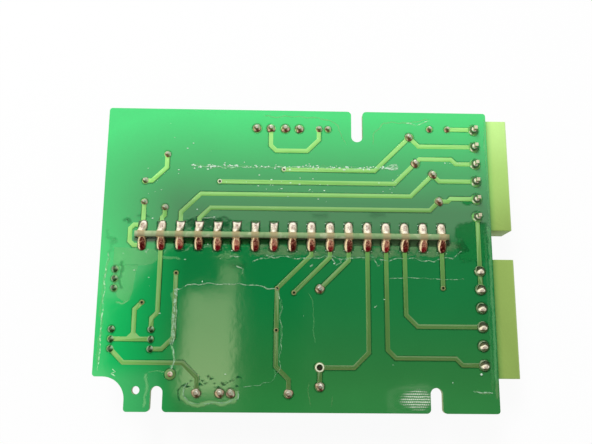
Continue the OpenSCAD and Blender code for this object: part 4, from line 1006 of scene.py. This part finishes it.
spatter = bmesh.new()
random.seed(9)
tape_y = 24.6
spots = [(random.uniform(-40, 50), random.uniform(-38, 20)) for n in range(12)]
spots += [(random.uniform(-30, 26), random.gauss(tape_y, 0.35)) for n in range(110)]
spots += strewn(9, -33, 5, 30, 4) + strewn(10, -36, 5, 19, 3) + strewn(26, -4, 8, 19.5, 1.6)
spots += strewn(8, 26, 2.5, 19.5, 2)
spots += [(41 + 0.7 * n, 26.4 + random.uniform(-0.2, 0.2)) for n in range(7)]
spots += strewn(16, -28, 9, 3, 4)
for x, y in spots:
    size = random.uniform(0.07, 0.19) * (1.5 if abs(y - tape_y) < 0.9 else 1)
    drop(at(x, y, bead_high), size, (random.uniform(0.7, 2.2), random.uniform(0.5, 1.3), 0.35))
for number in range(8, contacts):
    x = first_contact + number * contact_step
    for dx, dy, size in ((-1.25, 8.5, 0.17), (-1.35, 7.3, 0.13), (-1.2, 1.2, 0.12), (1.1, 1.0, 0.1)):
        drop(at(x + dx + random.uniform(-0.1, 0.1), dy + random.uniform(-0.2, 0.2), 0.14), size)
drop(at(48.44, -31.16, 0.25), 0.34, facets=2)

# the beads are painted pale, up to near white: painted highlights along their ridges, over a share of the
# coating's painted light
clear, place = new_finish("lacquer_with_painted_highlights")
broken = mottle(place, 1.4, 2.0, 0.6, 0.5)
pale = mottle(place, 0.8)
set_finish(place, color=painted_glow_colour(place, 0.35, 1.6, pale.blend((96, 170, 112), (214, 240, 214))),
           rough=0.3, gloss=0.3, alpha=broken.fade(0.36, 0.6, 0.1, 0.62) * pale.fade(0.2, 0.6, 0.5, 1.0),
           height=mottle(place, 0.4) * 0.02)
finish_piece("lacquer_beads", thick, clear, "laminate")
# the thin lines too are painted pale as highlights along their ridges, over a share of the coating's painted
# light
wash, place = new_finish("lacquer_wash_with_painted_highlights")
shade = mottle(place, 0.8).blend((96, 170, 112), (206, 240, 210))
set_finish(place, color=painted_glow_colour(place, 0.4, 1.6, shade), rough=0.3, gloss=0.3,
           alpha=mottle(place, 1.1, 3.0, 0.7, 0.5).fade(0.42, 0.62, 0.04, 0.5),
           height=mottle(place, 0.4) * 0.02)
finish_piece("lacquer_lines", thin, wash, "laminate")
dots, place = new_finish("spatter")
set_finish(place, color=mottle(place, 0.6).blend((176, 232, 190), (244, 254, 244)), rough=0.4, gloss=0.4,
           alpha=mottle(place, 6).fade(0.3, 0.6, 0.6, 1.0), height=mottle(place, 0.2) * 0.01)
finish_piece("spatter", spatter, dots, "laminate")


# ---- Plug-in headers ----
# Two six-way header housings moulded from pale lime polyamide. They hang under
# the board and their mouths face out past its right edge.
def eased(name, width, segments=2):
    """A copy of a CAD node with its sharp edges rounded by width mm."""
    shape = from_node(name)
    merge_flat(shape)
    sharp = [e for e in shape.edges if e.is_manifold and e.calc_face_angle() > math.radians(30)]
    bmesh.ops.bevel(shape, geom=sharp, offset=width * mm, offset_type="OFFSET", segments=segments,
                    profile=0.5, affect="EDGES", clamp_overlap=True, material=-1)
    bmesh.ops.remove_doubles(shape, verts=shape.verts, dist=0.002 * mm)
    face_out(shape)
    return shape


lime_plastic, place = new_finish("header_plastic")
x, y, z = place.parts()
# painted light: the plastic is painted brighter toward the upper edge
body = coated(
    y.fade(-34, 4).blend((148, 178, 90), (150, 180, 92)),
    (y.fade(4, 24), (178, 220, 120)),
    (y.fade(22, 40), (204, 250, 150)),
    # the wall beside the board is painted darker and green: its shade and the board's green light, painted
    # in; the far rim is paler
    (x.fade(55.4, 52.8) * z.fade(-3.2, -1.9) * 0.75, y.fade(0, 30).blend((66, 140, 66), (96, 196, 100))),
    (x.fade(58.9, 59.3) * 0.4, (196, 214, 158)))
flow = mottle(place, 6, 3.0, 0.5, 0.5, (1, 0.4, 1))
set_finish(place, color=(flow * 0.1 + mottle(place, 0.6, 3.0) * 0.06 + 0.92).times(body),
           rough=mottle(place, 3).fade(0, 1, 0.42, 0.6), gloss=0.3,
           height=mottle(place, 0.12, 2.0) * 0.006 + flow * 0.02)
for name in ("upper_header_housing", "lower_header_housing"):
    finish_piece(name + "_moulded", eased(name, 0.16), lime_plastic, "header_plastic", name)


# ---- Moulded black parts ----
# The bridge rectifier, the relay's case, the jumpers' strips and the cell
# holder are moulded from black plastic: epoxy on the rectifier, polyester on
# the rest. Their corners are eased by the mould.
black, place = new_finish("black_plastic")
dust = mottle(place, 3, 4.0, 0.6).fade(0.4, 0.8)
set_finish(place, color=dust.blend(mottle(place, 0.5).blend((26, 27, 28), (33, 34, 35)), (43, 44, 44)),
           rough=mottle(place, 2.5, 3.0).fade(0.3, 0.7, 0.42, 0.52), gloss=0.45,
           height=mottle(place, 0.16, 2.0) * 0.012)
for name, node, width, segments in (("rectifier_body", "rectifier", 0.45, 3),
                                    ("strip_housings", "jumper_strips", 0.2, 2),
                                    ("holder_ring", "cell_holder", 0.25, 2)):
    finish_piece(name, eased(node, width, segments), black, "black_plastic", node)


def box_in_mm(name):
    """The two corners of a CAD node's box, in mm from the middle of the board's solder side."""
    return [(corner - middle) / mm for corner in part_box(name)]


# the relay's cover is a thin-walled box that snaps over a base, with sunk panels and a vent nub
low, high = box_in_mm("relay")
relay_case = eased("relay", 0.6, 3)
groove_low, groove_high = at(0, 0, high.z - 2.4), at(0, 0, high.z - 2.1)
for level in (groove_low, groove_high):
    bmesh.ops.bisect_plane(relay_case, geom=[*relay_case.faces, *relay_case.edges, *relay_case.verts],
                           plane_co=level, plane_no=(0, 0, 1))
belt = [f for f in relay_case.faces if groove_low.z < f.calc_center_median().z < groove_high.z]
bmesh.ops.inset_region(relay_case, faces=belt, use_boundary=True, use_even_offset=True, thickness=0.03 * mm,
                       depth=-0.2 * mm)
wide = [f for f in relay_case.faces if f.calc_area() > 60 * mm * mm]
for rim, deep in ((1.1, 0), (0.12, 0.18)):
    bmesh.ops.inset_individual(relay_case, faces=wide, thickness=rim * mm, depth=-deep * mm)
bmesh.ops.create_cone(relay_case, cap_ends=True, segments=24, radius1=0.75 * mm, radius2=0.85 * mm,
                      depth=0.3 * mm,
                      matrix=Matrix.Translation(at(low.x + 3.2, (low.y + high.y) / 2, low.z + 0.2)))
finish_piece("relay_case", relay_case, black, "black_plastic", "relay")

shunt, place = new_finish("shunt_plastic")
set_finish(place, color=mottle(place, 3, 4.0, 0.6).blend((26, 27, 30), (50, 51, 54)),
           rough=mottle(place, 1.5, 3.0).fade(0.3, 0.7, 0.3, 0.5), height=mottle(place, 0.2) * 0.01)
finish_piece("shunt_caps", eased("jumper_shunts", 0.25), shunt, "shunt_plastic", "jumper_shunts")

gilt, place = new_finish("gilt_pins")
wear = mottle(place, 0.7, 3.0)
soldered = place.parts()[2].fade(-1.0, -0.4)
set_finish(place, color=soldered.blend(wear.blend((206, 168, 92), (244, 216, 150)), (96, 108, 84)),
           metal=soldered.fade(0, 1, 1.0, 0.5), rough=wear.fade(0, 1, 0.22, 0.38), height=wear * 0.01)
dress(gilt, "jumper_pins")


# ---- Filter capacitor ----
# An aluminium can in a shrunk blue sleeve with a pale stripe down one side. The
# sleeve folds over the can's end, which is scored with a cross so that it vents.
low, high = box_in_mm("filter_capacitor")
cx, cy = (low.x + high.x) / 2, (low.y + high.y) / 2
r, foot, head = (high.x - low.x) / 2, high.z, low.z
sleeve = bmesh.new()
turned(sleeve, cx, cy, [
    (r - 0.9, foot - 0.4), (r - 0.55, foot - 0.05), (r - 0.25, foot - 0.05), (r - 0.02, foot - 0.35),
    (r - 0.02, foot - 1.2), (r - 0.32, foot - 1.5), (r - 0.32, foot - 1.9), (r - 0.02, foot - 2.2),
    (r - 0.01, foot - 5), (r - 0.02, head + 0.45), (r - 0.1, head + 0.16), (r - 0.35, head + 0.03),
    (r - 0.8, head + 0.01), (r - 0.85, head + 0.1)], 48)
face_out(sleeve)
blue, place = new_finish("blue_sleeve")
x, y = place.parts()[:2]
stripe = (x - cx).fade(-r * 0.6, -r * 0.68) * abs(y - cy).fade(1.35, 1.25)
wrap = mottle(place, 2.5, 3.0, 0.5, 0.4, (1, 1, 0.3))
set_finish(place, color=stripe.blend(wrap.blend((20, 44, 96), (34, 66, 132)), (176, 190, 204)),
           rough=wrap.fade(0.2, 0.8, 0.2, 0.36), coat=0.3, height=wrap * 0.05)
finish_piece("capacitor_sleeve", sleeve, blue, "blue_sleeve", "filter_capacitor")
can = bmesh.new()
turned(can, cx, cy, [(0.0, head + 0.14), (r - 0.9, head + 0.12), (r - 0.72, head + 0.02),
                     (r - 0.55, head + 0.1)], 48)
turned(can, cx, cy, [(0.0, foot - 0.42), (r - 0.6, foot - 0.42), (r - 0.6, foot - 0.8)], 48)
for turn in (20, 110):
    bmesh.ops.create_cube(can, size=1, matrix=Matrix.Translation(at(cx, cy, head + 0.11))
                          @ Matrix.Rotation(math.radians(turn), 4, "Z")
                          @ Matrix.Diagonal((3.8 * mm, 0.16 * mm, 0.1 * mm, 1)))
face_out(can)
foil, place = new_finish("can_aluminium")
x, y, z = place.parts()
rings = (((x - cx) ** 2 + (y - cy) ** 2) ** 0.5).wave(0.12)
rubber = z.fade(-8, -6)
bare_can = mottle(place, 1.5).blend((186, 188, 190), (220, 221, 222))
set_finish(place, color=rubber.blend(bare_can, (34, 33, 32)), metal=rubber.fade(0, 1, 1.0, 0.0),
           rough=mottle(place, 0.8).fade(0, 1, 0.3, 0.45) + rubber * 0.4, height=rings * 0.004)
finish_piece("capacitor_can", can, foil, "blue_sleeve")


# ---- Wire-ended small parts ----
# Their bodies are dipped: the resistor in beige lacquer with painted bands, the
# film capacitor in brown epoxy, the suppressors in blue, the disc in ochre.
# Each dip is a little lumpy, and shines.
tan, place = new_finish("resistor_coat")
low, high = box_in_mm("resistor")
along = place.parts()[1] - (low.y + high.y) / 2 + mottle(place, 0.7) * 0.12
body = coated(
    mottle(place, 1.2, 3.0).blend((186, 158, 112), (206, 180, 134)),
    *((along.band(spot - 0.4, spot + 0.4, 0.04), colour) for spot, colour in (
        (-3.5, (96, 52, 26)), (-1.7, (28, 26, 24)), (-0.1, (172, 60, 26)), (3.2, (190, 146, 50)))))
set_finish(place, color=body, rough=mottle(place, 2).fade(0, 1, 0.2, 0.34), coat=0.4,
           height=mottle(place, 1.4) * 0.06)
dress(tan, "resistor")
brown = cloudy("film_coat", 2.2, (122, 58, 30), (156, 82, 44), (0.14, 0.3), 0.14, 2.0, (0.3, 0.006), coat=0.4)
finish_piece("film_capacitor_dip", eased("film_capacitor", 0.9, 4), brown, "film_coat", "film_capacitor")
navy = cloudy("suppressor_coat", 2.6, (24, 70, 128), (40, 98, 164), (0.2, 0.38), 0.2, 2.0, (0.35, 0.012),
              coat=0.3)
dress(navy, "surge_suppressors")
ochre = cloudy("ceramic_coat", 1.8, (176, 116, 44), (206, 146, 66), (0.3, 0.5), 0.12, 2.0, (0.25, 0.01))
dress(ochre, "disc_capacitor")
wire = cloudy("tinned_wire", 0.7, (176, 172, 164), (226, 224, 218), (0.24, 0.42), stretch=(1, 1, 0.3),
              metal=0.95)
for part in ("rectifier", "filter_capacitor", "resistor", "film_capacitor", "suppressor", "disc_capacitor",
             "relay", "chip", "crystal"):
    dress(wire, part + "_leads")


# ---- Coin cell ----
# A 20 mm lithium cell of pressed stainless steel: a brushed can with a rolled
# rim, clipped in its holder by sprung nickel-plated strips.
steel, place = new_finish("cell_steel")
x, y = place.parts()[:2]
low, high = box_in_mm("coin_cell")
dx, dy = x - (low.x + high.x) / 2, y - (low.y + high.y) / 2
out = (dx * dx + dy * dy) ** 0.5
brushed = mottle(place, 0.2, 3.0, 0.6, 0.0, (1, 0.06, 1))
ring = out.wave(0.3) * 0.004 * out.fade(2, 8.6) + out.band(8.9, 9.05, 0.06) * 0.05
set_finish(place, color=brushed.blend((176, 178, 180), (212, 214, 214)), metal=1.0,
           rough=(dy.math("ARCTAN2", dx).wave(0.5) * 0.03 + mottle(place, 3, 3.0) * 0.16 + 0.2),
           height=ring + brushed * 0.006)
dress(steel, "coin_cell", "cell_contacts")


# ---- Chips and crystal ----
# Moulded black packages with a dimple at their first pin, a drawn nickel can
# for the crystal, and ceramic chips with tinned end caps.
def end_caps(place, name):
    """1 on the tinned ends of a node's chips, which are 2 mm long and stand 4 mm apart."""
    along = (place.parts()[0] - box_in_mm(name)[0].x) % 4
    return (abs(along - 1) - 0.62).fade(-0.02, 0.02)


def dimple(shape, spot, radius, deep, inward, steps=16):
    """Presses a dimple with many sides in the flat face of shape that holds spot. It goes in along inward."""
    near = [f for f in shape.faces
            if f.normal.dot(inward) < -0.99 and abs((f.verts[0].co - spot).dot(inward)) < 0.05 * mm]
    sheet = max(near, key=lambda f: f.calc_area() / (1 + (f.calc_center_median() - spot).length / mm))
    over = inward.orthogonal().normalized()
    for number in range(steps):
        way = Matrix.Rotation(math.tau * number / steps, 3, inward) @ over
        made = bmesh.ops.bisect_plane(shape, geom=[sheet, *sheet.edges, *sheet.verts],
                                      plane_co=spot + way * radius * mm, plane_no=way)["geom"]
        sheet = [f for f in made if isinstance(f, bmesh.types.BMFace)
                 and (f.calc_center_median() - spot).dot(way) < radius * mm][0]
    bmesh.ops.inset_individual(shape, faces=[sheet], thickness=0.08 * mm, depth=-deep * mm)


matt, place = new_finish("chip_black")
cap = end_caps(place, "chip_resistors") * place.parts()[1].fade(5.75, 5.85)
set_finish(place, color=cap.blend(mottle(place, 0.4, 3.0).blend((26, 27, 28), (36, 37, 38)),
                                  mottle(place, 0.3).blend((184, 182, 176), (222, 220, 214))),
           metal=cap * 0.9, rough=cap.fade(0, 1, 0.55, 0.34), height=mottle(place, 0.14, 2.0) * 0.012)
dress(matt, "chip_resistors")
chip_long = 9.6
packages = eased("controller_chip", 0.14)
spare = bpy.data.meshes.new("spare")
eased("driver_chips", 0.12).to_mesh(spare)
packages.from_mesh(spare)
bpy.data.meshes.remove(spare)
controller, (first_driver, driver_end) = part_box("controller_chip")[0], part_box("driver_chips")
for x, z, inset in ((controller.x, controller.z, 1.3), (first_driver.x, first_driver.z, 1.1),
                    (driver_end.x - chip_long * mm, first_driver.z, 1.1)):
    dimple(packages, Vector((x + inset * mm, controller.y, z + inset * mm)), 0.4, 0.1, Vector((0, 1, 0)))
finish_piece("chip_packages", packages, matt, "chip_black", "controller_chip", "driver_chips")

buff, place = new_finish("chip_tan")
cap = end_caps(place, "chip_capacitors")
body = mottle(place, 0.4, 3.0).blend((150, 122, 84), (176, 148, 106))
set_finish(place, color=cap.blend(body, (208, 206, 200)), metal=cap * 0.9, rough=cap.fade(0, 1, 0.5, 0.34),
           height=mottle(place, 0.2) * 0.01)
dress(buff, "chip_capacitors")

nickel, place = new_finish("crystal_can")
draw = mottle(place, 0.3, 3.0, 0.5, 0.0, (1, 1, 0.12))
set_finish(place, color=draw.blend((188, 184, 174), (222, 219, 210)), metal=1.0,
           rough=mottle(place, 2).fade(0, 1, 0.2, 0.36), height=draw * 0.01 + mottle(place, 2.5) * 0.03)
finish_piece("crystal_shell", eased("crystal", 0.2), nickel, "crystal_can", "crystal")


# ---- Printed outlines ----
# The component side carries a white outline of each part, screened on in
# epoxy ink: frames round the boxes and rings round the upright cylinders.
ink_z = (board_low.z - board_high.z) / mm - 0.02


def outline(points):
    """Prints a closed line 0.3 mm wide through points in mm on the component side."""
    verts = [printed.verts.new(at(x, y, ink_z)) for x, y in points]
    sheet = bmesh.ops.contextual_create(printed, geom=verts)["faces"]
    bmesh.ops.inset_region(printed, faces=sheet, use_boundary=True, use_even_offset=True, thickness=0.3 * mm)
    bmesh.ops.delete(printed, geom=sheet, context="FACES_ONLY")


def framed(left, right, low, high):
    """Prints an oblong outline."""
    outline([(left, low), (right, low), (right, high), (left, high)])


printed = bmesh.new()
for name in ("relay", "rectifier", "resistor", "film_capacitor", "disc_capacitor"):
    low, high = box_in_mm(name)
    framed(low.x - 0.6, high.x + 0.6, low.y - 0.6, high.y + 0.6)
for name, gap in (("filter_capacitor", 0.5), ("coin_cell", 4.6)):
    low, high = box_in_mm(name)
    r = (high.x - low.x) / 2 + gap
    outline([((low.x + high.x) / 2 + r * math.cos(turn), (low.y + high.y) / 2 + r * math.sin(turn))
             for turn in (math.tau * n / 48 for n in range(48))])
for name in ("upper_header_housing", "lower_header_housing"):
    low, high = box_in_mm(name)
    framed(low.x - 0.5, 52.9, low.y, high.y)
face_along(printed.faces, Vector((0, 0, -1)))
ink, place = new_finish("white_ink")
wear = mottle(place, 0.5, 3.0)
set_finish(place, color=wear.blend((226, 230, 224), (250, 250, 246)), rough=wear.fade(0, 1, 0.4, 0.6),
           alpha=mottle(place, 0.3, 3.0).fade(0.16, 0.3, 0.5, 1.0), height=wear * 0.004)
finish_piece("part_outlines", printed, ink, "laminate")


# ---- Daughterboard tracks ----
# Masked copper on both faces of the upright board: a line goes down from each
# contact to the chips, and a broad ground line runs along its lower edge.
def trace(points, wide, face_y, facing):
    """Lays a flat track, wide mm across, through (x, z) points in mm on an upright face."""
    line = [upright.verts.new(at(x, face_y, z)) for x, z in points]
    ways = [(b.co - a.co).cross(Vector((0, 1, 0))).normalized() for a, b in zip(line, line[1:])]
    sides = {}
    for number, vert in enumerate(line):
        both = ways[max(0, number - 1):number + 1]
        push = sum(both, Vector())
        sides[vert] = push / (push.length_squared / len(both)) * wide / 2 * mm
    strip(upright, line, sides, Vector((0, facing, 0)))


low, high = box_in_mm("daughterboard")
start = box_in_mm("daughterboard_contacts")[0].z + 0.3
chips = []  # the left and right ends and the top of each chip that a line can end at
for name, wide in (("controller_chip", chip_long), ("driver_chips", chip_long), ("crystal", 11)):
    left, right = box_in_mm(name)
    chips += [(left.x, left.x + wide, right.z), (right.x - wide, right.x, right.z)]
upright = bmesh.new()
for face_y, facing in ((low.y - 0.02, -1), (high.y + 0.02, 1)):
    trace([(low.x + 1.2, low.z + 1), (high.x - 1.2, low.z + 1)], 1.1, face_y, facing)
    for number in range(contacts):
        x = first_contact + number * contact_step
        under = [top for left, right, top in chips if facing < 0 and left - 0.6 < x < right + 0.6]
        turn = low.z + 3.2 + 1.6 * (number * 5 % 7) / 2
        way = [(x, under[0] + 0.2)] if under else [(x, turn), (x + 1.1, turn - 1.1), (x + 1.1, low.z + 1.2)]
        trace([(x, start), *way], 0.4, face_y, facing)
lines, place = new_finish("masked_tracks")
set_finish(place, color=mottle(place, 5, 3.0).blend((84, 164, 78), (112, 190, 96)), rough=0.2, gloss=0.6,
           height=mottle(place, 0.4) * 0.002)
finish_piece("daughterboard_tracks", upright, lines, "masked_copper")
